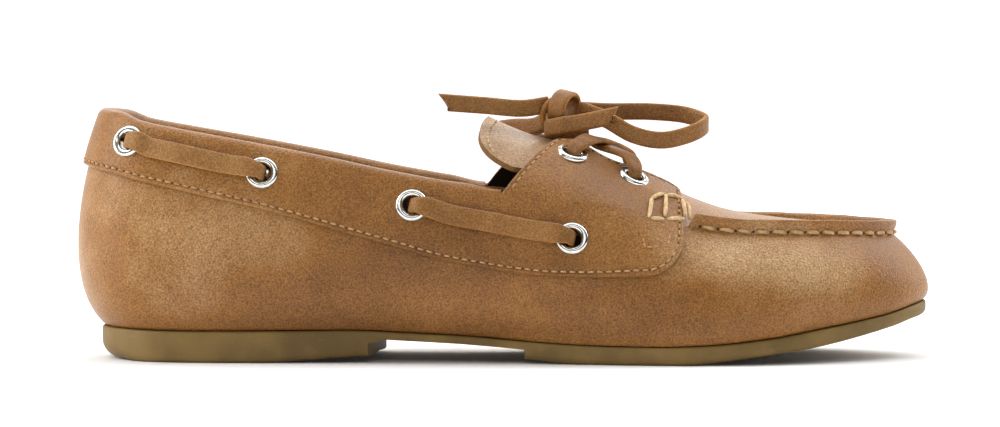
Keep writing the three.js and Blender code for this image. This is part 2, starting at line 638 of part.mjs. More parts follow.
function tongueSolid() {
  const across = 8; // strips from side to side
  const spread = Array.from({ length: across + 1 }, (_, i) => 1 - Math.abs((2 * i) / across - 1));
  const column = (share, out, thickness) => {
    const side = 1 + tongueEdge + tongueTaper * (1 - ease(flapRearShare, 0.6, share));
    const off = tongueDepth(share) - thickness;
    const points = spread.map((t, i) => {
      const angle = i <= across / 2 ? angleOf(share) : 2 * Math.PI - angleOf(share);
      return offForm(angle, mix(side, 1.999, t), off, 'dome');
    });
    // The free end reaches furthest in the middle and falls back towards its sides.
    const [low, high] = [points[0].z, points[across / 2].z];
    points.forEach((point, i) => {
      const up = clamp01((point.z - low) / (high - low));
      point.x -= tongueReach * out * up * (1.35 - 0.35 * up);
      point.z += tongueFlare * out ** 1.3 * spread[i] ** 1.6;
    });
    return points;
  };
  const stations = [];
  for (let i = 0; i <= 9; i += 1) stations.push([mix(tongueFrontShare, flapRearShare, i / 9), 0]);
  for (let i = 1; i <= 3; i += 1) stations.push([flapRearShare, i / 3]);
  const outer = stations.map(([share, out]) => column(share, out, 0));
  const inner = stations.map(([share, out]) => column(share, out, tongueWall));
  return outward(sheetGeometry(outer, inner, false));
}

// Outsole: one moulded unit. Each station gives a half section from the middle of the top to the middle
// of the underside, and the waist is then hollowed between the heel block and the forefoot.
const soleTopCorner = 0.8;
function closedFromStations(angles, profile) {
  const columns = angles.map(profile);
  const count = angles.length;
  const withMiddles = columns.map((column, i) => {
    const twin = columns[(count - i) % count];
    const middle = (a, b) => a.clone().add(b).multiplyScalar(0.5);
    const [first, last] = [column[0], column[column.length - 1]];
    const [twinFirst, twinLast] = [twin[0], twin[twin.length - 1]];
    return [middle(first, twinFirst), ...column, middle(last, twinLast)];
  });
  const positions = [];
  const put = (...corners) => corners.forEach((p) => positions.push(p.x, p.y, p.z));
  for (let i = 0; i < count; i += 1) {
    const [a, b] = [withMiddles[i], withMiddles[(i + 1) % count]];
    for (let r = 0; r < a.length - 1; r += 1) {
      put(a[r], b[r], b[r + 1]);
      put(a[r], b[r + 1], a[r + 1]);
    }
  }
  return fromPositions(positions);
}

function stationAngles(count) {
  const half = Array.from({ length: count }, (_, i) => (Math.PI * i) / count);
  return [...half, Math.PI, ...half.slice(1).reverse().map((angle) => 2 * Math.PI - angle)];
}

function outsoleSolid() {
  const body = closedFromStations(stationAngles(30), (angle) => {
    const share = shareOf(angle);
    const corner = mix(heelCorner, soleEdgeCorner, ease(0, 0.06, share));
    const cut = corner * (1 - Math.SQRT1_2);
    const top = (inset, drop) => {
      const spot = soleInset(angle, inset);
      return new THREE.Vector3(spot.x, spot.y, soleTop(spot.x) - drop);
    };
    const foot = (inset, lift) => {
      const spot = soleInset(angle, inset);
      return new THREE.Vector3(spot.x, spot.y, soleFoot(spot.x) + lift);
    };
    return [
      top(soleTopCorner, 0),
      top(0, soleTopCorner),
      foot(0, Math.min(corner, 0.55 * (soleTop(foot(0, 0).x) - soleFoot(foot(0, 0).x)))),
      foot(cut, cut),
      foot(corner, 0),
    ];
  });
  const across = [-0.75, -0.5, -0.25, 0, 0.25, 0.5, 0.75];
  const along = [0, 0.12, 0.35, 0.6, 0.85, 1];
  const under = (y, t) => {
    const side = y / (heelWidth / 2);
    const start = breastAt + (breastSkew * (1 + side)) / 2 + breastCurve * (1 - side * side);
    const x = mix(start, treadStepAt, t);
    const rounded = waistTopCorner * (1 - ease(0, 0.12, t)) * 0.6;
    return new THREE.Vector3(x, y, soleTop(x) - waistThickness - rounded);
  };
  const roof = across.map((share) => along.map((t) => under(share * heelWidth, t)));
  const below = roof.map((column) => column.map((point) => point.clone().setZ(-heelHeight)));
  return outward(body).subtract(outward(sheetGeometry(roof, below, false)));
}

function insoleSolid() {
  const edge = (angle, lift) => {
    const off = -(upperWall + gap);
    const z = feather(angle).z + lift;
    let [low, high] = [0, 0.4];
    for (let i = 0; i < 20; i += 1) {
      const middle = (low + high) / 2;
      if (offForm(angle, middle, off, 'wall').z < z) low = middle;
      else high = middle;
    }
    const point = offForm(angle, low, off - gap, 'wall');
    return new THREE.Vector3(point.x, point.y, soleTop(point.x) + gap + lift);
  };
  return outward(closedFromStations(anglesRound, (angle) => [edge(angle, insoleThickness), edge(angle, 0)]));
}

// Eyelets: along the shoe as a share of the sole's length, up as a share of the height named beside it.
const eyeletRows = [
  { name: 'band_1', along: 0.041, of: collarHeight, up: 0.892, throughUpper: true },
  { name: 'band_2', along: 0.2, of: collarHeight, up: 0.767, throughUpper: true },
  { name: 'band_3', along: 0.378, of: collarDip, up: 0.927, throughUpper: true },
  { name: 'band_4', along: 0.567, of: collarDip, up: 0.735, throughUpper: true },
  { name: 'flap_1', along: 0.565, of: instepHeight, up: 0.902, throughUpper: false },
  { name: 'flap_2', along: 0.638, of: instepHeight, up: 0.803, throughUpper: false },
];
const flangeSeat = 0.2; // the flange sinks this far into the leather
const eyeletSides = 10;
const cutSides = 8;

function locate(row, outer) {
  const [x, z] = [soleBack + soleLength * row.along, row.of * row.up];
  const turned = (share) => (outer ? angleOf(share) : 2 * Math.PI - angleOf(share));
  let [low, high] = [0.0001, 0.9];
  for (let i = 0; i < 24; i += 1) {
    const middle = (low + high) / 2;
    const angle = turned(middle);
    if (formPoint(angle, heightAtZ(angle, z)).x < x) low = middle;
    else high = middle;
  }
  const angle = turned(low);
  const height = heightAtZ(angle, z);
  const normal = formNormal(angle, height);
  const point = formPoint(angle, height).addScaledVector(normal, overlayOff(angle, height));
  return { point, normal, angle, height };
}

const eyelets = [];
for (const row of eyeletRows) {
  for (const side of ['outer', 'inner']) {
    const name = `eyelet_${row.name}_${side}`;
    eyelets.push({ ...locate(row, side === 'outer'), name, throughUpper: row.throughUpper });
  }
}
const eyeletNamed = (name) => eyelets.find((eyelet) => eyelet.name === `eyelet_${name}`);

// Turns a shape whose axis is Y so that it stands on a point along a direction.
function standOn(geometry, point, direction) {
  const turn = new THREE.Quaternion().setFromUnitVectors(new THREE.Vector3(0, 1, 0), direction);
  return geometry.applyMatrix4(new THREE.Matrix4().compose(point, turn, new THREE.Vector3(1, 1, 1)));
}

function eyeletSolid(eyelet) {
  const depth = eyelet.throughUpper ? overlayWall + gap + upperWall : overlayWall;
  const barrel = eyeletHole + eyeletTube;
  const middle = (eyeletHole + eyeletFlange) / 2;
  const profile = [
    [eyeletHole, -depth],
    [barrel, -depth],
    [barrel, 0],
    [eyeletFlange, 0],
    [eyeletFlange - 0.15, eyeletDome * 0.5],
    [middle, eyeletDome],
    [eyeletHole + 0.1, eyeletDome * 0.55],
    [eyeletHole, -depth],
  ].map(([radius, up]) => new THREE.Vector2(radius, up));
  const seat = eyelet.point.clone().addScaledVector(eyelet.normal, -flangeSeat);
  return outward(standOn(new THREE.LatheGeometry(profile, eyeletSides), seat, eyelet.normal));
}

// The hole for the barrel and the shallow seat for the flange.
const holeReach = 9;
function eyeletCut(eyelet) {
  const round = 1 / Math.cos(Math.PI / cutSides);
  const [holeRadius, seatRadius] = [(eyeletHole + eyeletTube + gap) * round, (eyeletFlange + gap) * round];
  const hole = new THREE.CylinderGeometry(holeRadius, holeRadius, holeReach, cutSides);
  const seatHeight = 3;
  const seat = new THREE.CylinderGeometry(seatRadius, seatRadius, seatHeight, cutSides);
  seat.translate(0, seatHeight / 2 - flangeSeat - 0.1, 0);
  const placed = (shape) => toSolid(standOn(shape, eyelet.point, eyelet.normal));
  return placed(hole).add(placed(seat));
}

// A flat lace along a route. Each station holds its place, the direction of the lace's width and that width.
function laceSolid(stations) {
  const count = stations.length;
  const corners = stations.map(({ at, wide, width }, i) => {
    const [before, after] = [stations[Math.max(0, i - 1)].at, stations[Math.min(count - 1, i + 1)].at];
    const along = after.clone().sub(before).normalize();
    const across = wide.clone().addScaledVector(along, -wide.dot(along)).normalize();
    const thick = along.clone().cross(across);
    const [half, deep] = [width / 2, laceThickness / 2];
    const corner = (w, t) => at.clone().addScaledVector(across, w * half).addScaledVector(thick, t * deep);
    return [corner(-1, -1), corner(1, -1), corner(1, 1), corner(-1, 1)];
  });
  const positions = [];
  const quad = (a, b, c, d) => [a, b, c, a, c, d].forEach((p) => positions.push(p.x, p.y, p.z));
  for (let i = 0; i < count - 1; i += 1) {
    for (let k = 0; k < 4; k += 1) {
      const n = (k + 1) % 4;
      quad(corners[i][k], corners[i][n], corners[i + 1][n], corners[i + 1][k]);
    }
  }
  const [first, last] = [corners[0], corners[count - 1]];
  quad(first[3], first[2], first[1], first[0]);
  quad(last[0], last[1], last[2], last[3]);
  return outward(fromPositions(positions));
}
function smoothStations(rows, steps) {
  const path = new THREE.CatmullRomCurve3(rows.map((row) => row.at), false, 'centripetal');
  return Array.from({ length: steps + 1 }, (_, i) => {
    const t = i / steps;
    const place = t * (rows.length - 1);
    const k = Math.min(rows.length - 2, Math.floor(place));
    const [before, after] = [rows[k], rows[k + 1]];
    const wide = before.wide.clone().lerp(after.wide, place - k);
    return { at: path.getPoint(t), wide, width: mix(before.width, after.width, place - k) };
  });
}

// Side laces: out of one eyelet, along the band and into the next.
const laceInHole = 2.2; // how deep the lace's end stands in the barrel
const holeLaceWidth = 4.3; // the lace is gathered where it goes through an eyelet
const sideLaceWidth = 5.8; // and lies flat along the band
const laceClear = 0.3;
const laceBow = 0.5; // it stands this much further off the band in the middle
function sideLace(from, to) {
  const over = eyeletDome + laceClear + laceThickness / 2 - flangeSeat;
  const resting = laceClear + laceThickness / 2;
  const apart = to.point.clone().sub(from.point);
  const rows = [];
  const leave = (eyelet, towards) => {
    const level = towards.clone().addScaledVector(eyelet.normal, -towards.dot(eyelet.normal)).normalize();
    const wide = level.clone().cross(eyelet.normal).normalize();
    const spot = (along, up, width) => ({
      at: eyelet.point.clone().addScaledVector(level, along).addScaledVector(eyelet.normal, up),
      wide,
      width,
    });
    const bend = eyeletHole - laceThickness;
    return [
      spot(0, -laceInHole, holeLaceWidth),
      spot(0, 0.2, holeLaceWidth),
      spot(bend, over + 0.4, (holeLaceWidth + sideLaceWidth) / 2),
      spot(eyeletFlange - 0.6, over + 0.5, sideLaceWidth),
    ];
  };
  const direction = apart.clone().normalize();
  const start = leave(from, direction);
  const end = leave(to, direction.clone().negate()).reverse();
  end.forEach((row) => {
    row.wide = row.wide.clone().negate();
  });
  rows.push(...start);
  for (const share of [0.3, 0.5, 0.7]) {
    const angle = mix(from.angle, to.angle, share);
    const height = mix(from.height, to.height, share);
    const normal = formNormal(angle, height);
    const off = overlayOff(angle, height) + resting + laceBow * Math.sin(Math.PI * share);
    rows.push({
      at: formPoint(angle, height).addScaledVector(normal, off),
      wide: direction.clone().cross(normal).normalize(),
      width: sideLaceWidth,
    });
  }
  rows.push(...end);
  return laceSolid(smoothStations(rows, 22));
}

// Crossed strands: each comes out of a front flap eyelet and goes into the rear one of the other side.
const crossingRise = 3.4; // the lower strand's middle above the form's crown
const upright = new THREE.Vector3(0, 0, 1);
function crossingSolid() {
  const strand = (from, to, lift) => {
    const direction = to.point.clone().sub(from.point).normalize();
    const spot = (eyelet, along, up, sign, width) => {
      const wide = direction.clone().cross(eyelet.normal).normalize();
      const flat = direction.clone().addScaledVector(eyelet.normal, -direction.dot(eyelet.normal)).normalize();
      const at = eyelet.point.clone().addScaledVector(flat, along * sign).addScaledVector(eyelet.normal, up);
      return { at, wide, width };
    };
    const middle = from.point.clone().add(to.point).multiplyScalar(0.5);
    middle.z = through(crownLine, middle.x) + crossingRise + lift;
    const level = direction.clone().cross(upright).normalize();
    const top = { at: middle, wide: level, width: laceWidth };
    const ends = (eyelet, sign) => [
      spot(eyelet, 0, -1, sign, holeLaceWidth),
      spot(eyelet, 0, 0.6, sign, holeLaceWidth),
      spot(eyelet, 2.2, 2.3, sign, laceWidth),
      spot(eyelet, 6, 2.6 + lift / 3, sign, laceWidth),
    ];
    return laceSolid(smoothStations([...ends(from, 1), top, ...ends(to, -1).reverse()], 18));
  };
  const under = strand(eyeletNamed('flap_2_outer'), eyeletNamed('flap_1_inner'), 0);
  const over = strand(eyeletNamed('flap_2_inner'), eyeletNamed('flap_1_outer'), laceThickness * 0.9);
  return under.add(over);
}

// The bow: routes chosen by hand from the shoe's own frame, with the lace standing on edge.
const knotCentre = new THREE.Vector3(17, 0.5, 73);
const knotRadii = new THREE.Vector3(3.7, 4.4, 3.8);
const bowRoutes = {
  lace_end_rear: [
    [12.6, 0.6, 74],
    [5, -3.5, 73],
    [-6, -6.5, 73.9],
    [-20, -10, 75],
  ],
  lace_loop_front: [
    [21.4, 2.2, 72.4],
    [31, 5.5, 71.9],
    [43, 8, 71.8],
    [53.5, 6.5, 70.8],
    [59, 0.5, 68.6],
    [57.2, -4.2, 66.9],
    [52.4, -7.2, 65],
    [45.5, -8.6, 63.8],
    [37.5, -7.4, 65.4],
    [29.5, -4.6, 69.8],
    [22.4, -1.4, 72.6],
  ],
  lace_loop_rear: [
    [14.2, 4.9, 70.8],
    [9, 10.2, 67.6],
    [2, 16, 67],
    [-3.5, 21.5, 65.8],
    [-2, 26, 64.6],
    [4.5, 24, 65],
    [11, 15.5, 67.6],
    [16.3, 6.4, 69.6],
  ],
  lace_end_front: [
    [24.5, 3.4, 66.8],
    [18.5, 2.2, 66.4],
    [13.4, -0.6, 66.6],
    [12.4, -4.2, 67.2],
    [16, -6.8, 68],
    [22, -8, 68.9],
    [27.5, -8.8, 69.7],
    [33, -9.4, 70.6],
  ],
};
const bowWidth = 5;
function bowSolid(route) {
  const rows = route.map(([x, y, z]) => ({ at: new THREE.Vector3(x, y, z), wide: upright, width: bowWidth }));
  return laceSolid(smoothStations(rows, (rows.length - 1) * 3));
}
function knotSolid() {
  const ball = new THREE.SphereGeometry(1, 12, 8);
  ball.scale(knotRadii.x, knotRadii.y, knotRadii.z);
  ball.translate(knotCentre.x, knotCentre.y, knotCentre.z);
  return outward(ball);
}

const parts = new THREE.Group();
function addPart(name, solid, material) {
  const mesh = new THREE.Mesh(toGeometry(solid), material);
  mesh.name = name;
  parts.add(mesh);
}
const leather = new THREE.MeshStandardMaterial({ color: 0x9c6c43, roughness: 0.5, metalness: 0 });
const bandLeather = new THREE.MeshStandardMaterial({ color: 0xa5764c, roughness: 0.5, metalness: 0 });
const laceLeather = new THREE.MeshStandardMaterial({ color: 0x8a6440, roughness: 0.6, metalness: 0 });
const rubber = new THREE.MeshStandardMaterial({ color: 0x6f5a34, roughness: 0.7, metalness: 0 });
const insoleLeather = new THREE.MeshStandardMaterial({ color: 0x7d5a3a, roughness: 0.7, metalness: 0 });
const silver = new THREE.MeshStandardMaterial({ color: 0xd8d8d6, roughness: 0.2, metalness: 1 });

const cuts = eyelets.map((eyelet) => ({ eyelet, cut: eyeletCut(eyelet) }));
const cutUpper = cuts.filter(({ eyelet }) => eyelet.throughUpper);
addPart('outsole', outsoleSolid(), rubber);
addPart('insole', insoleSolid(), insoleLeather);
addPart('upper', cutUpper.reduce((solid, { cut }) => solid.subtract(cut), upperSolid()), leather);
addPart('quarter_overlay', cuts.reduce((solid, { cut }) => solid.subtract(cut), overlaySolid()), bandLeather);
addPart('tongue', tongueSolid(), leather);
eyelets.forEach((eyelet) => addPart(eyelet.name, eyeletSolid(eyelet), silver));
for (const side of ['outer', 'inner']) {
  const [first, second, third, fourth] = [1, 2, 3, 4].map((k) => eyeletNamed(`band_${k}_${side}`));
  addPart(`side_lace_rear_${side}`, sideLace(first, second), laceLeather);
  addPart(`side_lace_front_${side}`, sideLace(third, fourth), laceLeather);
}
addPart('lace_crossing', crossingSolid(), laceLeather);
addPart('lace_knot', knotSolid(), laceLeather);
Object.entries(bowRoutes).forEach(([name, route]) => addPart(name, bowSolid(route), laceLeather));

// The origin is under the middle of the shoe without its bow.
const bowNames = ['lace_knot', ...Object.keys(bowRoutes)];
const bounds = new THREE.Box3();
parts.children.filter((mesh) => !bowNames.includes(mesh.name)).forEach((mesh) => bounds.expandByObject(mesh));
const middle = bounds.getCenter(new THREE.Vector3());
parts.position.set(-middle.x, -middle.y, -bounds.min.z);

export default parts;
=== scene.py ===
import bpy
import bmesh
import math
import numpy as np
from mathutils import Matrix, Vector


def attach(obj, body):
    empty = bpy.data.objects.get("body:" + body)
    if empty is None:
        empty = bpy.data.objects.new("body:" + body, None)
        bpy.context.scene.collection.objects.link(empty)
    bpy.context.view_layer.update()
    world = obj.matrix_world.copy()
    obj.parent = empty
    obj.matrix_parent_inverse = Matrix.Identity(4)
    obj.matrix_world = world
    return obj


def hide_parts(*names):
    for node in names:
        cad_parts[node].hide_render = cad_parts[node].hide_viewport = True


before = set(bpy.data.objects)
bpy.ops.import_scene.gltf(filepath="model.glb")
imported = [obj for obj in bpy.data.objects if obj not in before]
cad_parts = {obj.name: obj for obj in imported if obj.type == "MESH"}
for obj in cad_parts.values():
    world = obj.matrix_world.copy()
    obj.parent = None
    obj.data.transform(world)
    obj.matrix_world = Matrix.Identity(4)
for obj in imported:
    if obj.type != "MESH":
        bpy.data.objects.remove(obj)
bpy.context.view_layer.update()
mm = 0.001
bpy.ops.object.select_all(action="DESELECT")

# camera and light
cameraSet = {"distance": 1300, "tilt": 2.5, "aim": (-1.2, 0.7, 42.0), "focalPixels": 4420, "sensor": 36,
             "wide": 1000, "sight": 30}


def addCamera(c):
    tilt = math.radians(c["tilt"])
    aim = Vector(c["aim"])
    place = aim + Vector((0, -math.cos(tilt), math.sin(tilt))) * c["distance"]
    bpy.ops.object.camera_add(location=place * mm, rotation=(math.pi / 2 - tilt, 0, 0))
    camera = bpy.context.object
    camera.name = "productCamera"
    camera.data.sensor_width = c["sensor"]
    camera.data.lens = c["sensor"] * c["focalPixels"] / c["wide"]
    camera.data.clip_end = c["sight"]
    bpy.context.scene.camera = camera


lights = [
    {"name": "topSoftbox", "at": (0.0, 0.1, 1.0), "size": (1.6, 0.7), "power": 9.5, "aim": (0, 0, 0.03)},
    {"name": "frontSoftbox", "at": (-0.15, -1.35, 0.85), "size": (1.5, 0.5), "power": 3.6, "aim": (0, 0, 0.04)},
    {"name": "toeStrip", "at": (0.9, 0.3, 0.6), "size": (0.35, 0.9), "power": 6, "aim": (0.1, 0, 0.03)},
    {"name": "heelStrip", "at": (-0.95, -0.1, 0.5), "size": (0.3, 0.9), "power": 8, "aim": (-0.11, 0, 0.04)},
    {"name": "backSoftbox", "at": (0.1, 0.95, 0.75), "size": (1.4, 0.5), "power": 5, "aim": (0.03, 0, 0.05)},
]
# brightness of the air by height: first, last and then the levels between
airSet = {"strength": 0.34, "bands": [(0.0, 0.75), (1.0, 1.0), (0.05, 0.2), (0.25, 0.12), (0.5, 0.55)]}


def addLights():
    for light in lights:
        aim = Vector(light["aim"]) - Vector(light["at"])
        bpy.ops.object.light_add(type="AREA", location=light["at"], rotation=aim.to_track_quat("-Z", "Y").to_euler())
        lamp = bpy.context.object
        lamp.name = light["name"]
        lamp.data.shape = "RECTANGLE"
        lamp.data.size, lamp.data.size_y = light["size"]
        lamp.data.energy = light["power"]
    world = bpy.data.worlds.new("studioAir")
    world.use_nodes = True
    tree = world.node_tree
    place = tree.nodes.new("ShaderNodeTexCoord")
    split = tree.nodes.new("ShaderNodeSeparateXYZ")
    ramp = tree.nodes.new("ShaderNodeValToRGB")
    tree.links.new(place.outputs["Generated"], split.inputs[0])
    tree.links.new(split.outputs["Z"], ramp.inputs["Fac"])
    tree.links.new(ramp.outputs["Color"], tree.nodes["Background"].inputs["Color"])
    for k, (at, level) in enumerate(airSet["bands"]):
        stop = ramp.color_ramp.elements[k] if k < 2 else ramp.color_ramp.elements.new(at)
        stop.position, stop.color = at, (level, level, level, 1)
    tree.nodes["Background"].inputs["Strength"].default_value = airSet["strength"]
    bpy.context.scene.world = world
    bpy.context.scene.view_settings.view_transform = "Standard"
    bpy.context.scene.view_settings.look = "None"


floorSet = {"half": 6, "backAt": 2.2, "bend": 0.7, "steps": 10, "wall": 3, "glow": 0.6, "dim": 0.02,
            "dimNear": 0.06, "dimTo": 0.3, "squeeze": 0.35}


def addFloor(f):
    bpy.ops.mesh.primitive_plane_add(size=1, location=(0, 0, 0))
    floor = bpy.context.object
    floor.name = "studioFloor"
    bpy.ops.object.mode_set(mode="EDIT")
    bpy.ops.transform.resize(value=(2 * f["half"], 2 * f["backAt"], 1))
    bpy.ops.mesh.select_all(action="DESELECT")
    bpy.ops.object.mode_set(mode="OBJECT")
    for edge in floor.data.edges:
        edge.select = all(floor.data.vertices[v].co.y > 0 for v in edge.vertices)
    bpy.ops.object.mode_set(mode="EDIT")
    bpy.ops.mesh.select_mode(type="EDGE")
    for i in range(f["steps"]):
        turn = (i + 0.5) / f["steps"] * math.pi / 2
        step = f["bend"] * math.pi / 2 / f["steps"]
        bpy.ops.mesh.extrude_region_move(
            TRANSFORM_OT_translate={"value": (0, step * math.cos(turn), step * math.sin(turn))})
    bpy.ops.mesh.extrude_region_move(TRANSFORM_OT_translate={"value": (0, 0, f["wall"])})
    bpy.ops.mesh.select_mode(type="VERT")
    bpy.ops.object.mode_set(mode="OBJECT")
    bpy.ops.object.shade_smooth()
    return floor


addCamera(cameraSet)
addLights()
studioFloor = addFloor(floorSet)
print("camera, lights and floor are set")


# the form of the shoe, in millimetres, as in the part's own source
form = {
    "length": 250, "heelOverhang": 6.6, "toeOverhang": 0.8, "ball": 77, "waist": 50, "heel": 56.5,
    "toeSwing": 4, "collar": 58, "apron": 53, "heelHeight": 9.2, "heelRise": 1.9, "ballThickness": 5.2,
    "toeSpring": 12.4, "toeThickness": 4.3, "collarHeight": 71, "collarDip": 48.9, "seamHeight": 37,
    "instep": 63.7, "upperWall": 2.2, "overlayWall": 1.5, "overlayGap": 0.38, "tongueWall": 2, "flapLift": 0.6,
    "gap": 0.3,
    "featherInset": 0.8, "insole": 3, "ridgeHeight": 4.4, "ridgeWidth": 2.8, "toeSetBack": 9.4,
    "flapRear": 0.485, "flapFront": 0.7, "crownRear": 12.5, "crownFront": 101, "flapCorner": 10,
    "laceGap": 9, "flapTopCorner": 5, "foldDepth": 3, "foldFlat": 0.5, "innerReach": 0.019, "cornerLift": 2.1,
    "frontPad": 1.1, "flapLean": 0.045, "shift": (0.257, 0.726, 0),
}
soleBack = -form["length"] / 2 + form["heelOverhang"]
soleLength = form["length"] - form["heelOverhang"] - form["toeOverhang"]
toeLift = form["toeSpring"] + form["toeThickness"]


def cubic(a, b, slopeA, slopeB, width, t):
    return (a * (1 + 2 * t) * (1 - t) ** 2 + b * t * t * (3 - 2 * t)
            + width * (slopeA * t * (1 - t) ** 2 + slopeB * t * t * (t - 1)))


def through(rows, x):
    xs, ys = np.array(rows, float).T
    secant = np.diff(ys) / np.diff(xs)
    before, after = secant[:-1], secant[1:]
    total = np.where(before * after > 0, before + after, 1)
    slope = np.concatenate([secant[:1], np.where(before * after > 0, 2 * before * after / total, 0), secant[-1:]])
    x = np.clip(np.asarray(x, float), xs[0], xs[-1])
    i = np.clip(np.searchsorted(xs, x, side="left") - 1, 0, len(xs) - 2)
    width = xs[i + 1] - xs[i]
    return cubic(ys[i], ys[i + 1], slope[i], slope[i + 1], width, (x - xs[i]) / width)


def ease(low, high, x):
    t = np.clip((np.asarray(x, float) - low) / (high - low), 0, 1)
    return t * t * (3 - 2 * t)


def mix(a, b, t):
    return a + (b - a) * t


def angleOf(share):
    return np.arccos(1 - 2 * np.asarray(share, float))


def stationAt(share):
    return float(angleOf(share))


def shareOf(angle):
    return (1 - np.cos(angle)) / 2


def halfTurn(angle):
    return np.arccos(np.clip(np.cos(angle), -1, 1))


def unit(v):
    return v / np.linalg.norm(v, axis=-1, keepdims=True)


def travelAlong(places):
    return np.concatenate([[0], np.cumsum(np.linalg.norm(np.diff(places, axis=0), axis=1))])


def bisect(low, high, steps, isBelow):
    for _ in range(steps):
        middle = (low + high) / 2
        below = isBelow(middle)
        low, high = np.where(below, middle, low), np.where(below, high, middle)
    return low, high


def stack(x, y, z):
    x, y, z = np.broadcast_arrays(x, y, z)
    return np.stack([x, y, z], axis=-1).astype(float)


ball, heel, waist = form["ball"], form["heel"], form["waist"]
# share of the length, width it follows, half width, centre
soleRows = [
    (0.02, heel, 0.275, 0), (0.05, heel, 0.395, 0), (0.1, heel, 0.472, 0), (0.17, heel, 0.498, -0.001),
    (0.27, heel, 0.475, -0.01), (0.37, waist, 0.496, -0.025), (0.47, waist, 0.5, -0.05),
    (0.57, ball, 0.375, -0.069), (0.66, ball, 0.448, -0.052), (0.73, ball, 0.489, -0.016),
    (0.8, ball, 0.478, 0.017), (0.87, ball, 0.41, 0.039), (0.93, ball, 0.31, 0.049),
    (0.97, ball, 0.204, 0.051), (0.99, ball, 0.117, 0.052),
]
rising = [(stationAt(s), half * width) for s, width, half, _ in soleRows]
soleHalf = ([(-a, -h) for a, h in rising[::-1]] + [(0, 0)] + rising + [(math.pi, 0)]
            + [(2 * math.pi - a, -h) for a, h in rising[::-1]])
soleCentre = [(s, centre * ball) for s, _, _, centre in soleRows] + [(1, form["toeSwing"])]
heelTall, rise = form["heelHeight"], form["heelRise"]
ballThick, spring = form["ballThickness"], form["toeSpring"]
soleTopLine = [(0, 1.03 * heelTall), (0.1, 0.99 * heelTall), (0.2, heelTall), (0.3, 1.02 * heelTall),
               (0.37, 0.94 * heelTall), (0.45, 0.83 * heelTall), (0.52, 1.2 * ballThick), (0.6, 1.03 * ballThick),
               (0.67, ballThick), (0.73, 1.1 * ballThick), (0.8, 0.44 * toeLift), (0.86, 0.58 * toeLift),
               (0.91, 0.7 * toeLift), (0.95, 0.81 * toeLift), (0.98, 0.93 * toeLift), (1, toeLift)]
soleFootLine = [(0, 0), (0.19, 0), (0.25, 0.36 * rise), (0.33, rise), (0.42, rise), (0.52, 0.6 * rise),
                (0.545, 0.22 * rise), (0.58, 0), (0.7, 0), (0.742, 0.075 * spring), (0.795, 0.2 * spring),
                (0.854, 0.355 * spring), (0.885, 0.47 * spring), (0.957, 0.8 * spring), (0.98, 0.93 * spring),
                (1, spring)]


def soleTop(x):
    return through(soleTopLine, (x - soleBack) / soleLength)


def soleFoot(x):
    return through(soleFootLine, (x - soleBack) / soleLength)


def outerSide(angle):
    return np.sin(angle) >= -1e-12


def solePoint(angle):
    share = shareOf(angle)
    half = through(soleHalf, halfTurn(angle))
    y = through(soleCentre, share) + np.where(outerSide(angle), -half, half)
    return stack(soleBack + soleLength * share, y, 0)


def soleNormal(angle):
    along = solePoint(angle + 0.01) - solePoint(angle - 0.01)
    return unit(stack(along[..., 1], -along[..., 0], 0))


def soleInset(angle, inset):
    return solePoint(angle) - soleNormal(angle) * np.asarray(inset)[..., None]


collar, apron = form["collar"], form["apron"]
topH, dipH, seamH, setBack = form["collarHeight"], form["collarDip"], form["seamHeight"], form["toeSetBack"]
# share, width, outer half, inner half, height it follows, height, set back
shoulderRows = [
    (0, collar, 0, 0, topH, 0.994, -0.06), (0.02, collar, 0.235, 0.235, topH, 0.985, -0.06),
    (0.05, collar, 0.332, 0.332, topH, 0.948, -0.04), (0.1, collar, 0.397, 0.397, topH, 0.915, -0.02),
    (0.17, collar, 0.43, 0.43, topH, 0.873, 0), (0.27, collar, 0.462, 0.455, topH, 0.808, 0),
    (0.37, collar, 0.491, 0.472, dipH, 1.07, 0), (0.44, collar, 0.507, 0.48, dipH, 1.014, 0),
    (0.49, collar, 0.515, 0.483, dipH, 0.995, 0), (0.55, collar, 0.52, 0.483, dipH, 0.97, 0),
    (0.6, apron, 0.56, 0.525, seamH, 1.235, 0), (0.65, apron, 0.54, 0.52, seamH, 1.15, 0),
    (0.7, apron, 0.515, 0.51, seamH, 1.07, 0.01), (0.74, apron, 0.505, 0.51, seamH, 1.025, 0.04),
    (0.79, apron, 0.49, 0.515, seamH, 1, 0.12), (0.84, apron, 0.448, 0.502, seamH, 0.995, 0.26),
    (0.9, apron, 0.35, 0.436, seamH, 0.985, 0.5), (0.95, apron, 0.22, 0.34, seamH, 0.975, 0.76),
    (0.98, apron, 0.105, 0.24, seamH, 0.966, 0.92), (1, apron, -0.07, 0.07, seamH, 0.963, 1),
]
shoulderOuter = [(stationAt(r[0]), -r[2] * r[1]) for r in shoulderRows]
shoulderInner = [(stationAt(r[0]), r[3] * r[1]) for r in shoulderRows]
shoulderZ = [(r[0], r[5] * r[4]) for r in shoulderRows]
shoulderSlide = [(r[0], -r[6] * setBack) for r in shoulderRows]


def shoulder(angle):
    share, half = shareOf(angle), halfTurn(angle)
    y = np.where(outerSide(angle), through(shoulderOuter, half), through(shoulderInner, half))
    return stack(soleBack + soleLength * share + through(shoulderSlide, share), y, through(shoulderZ, share))


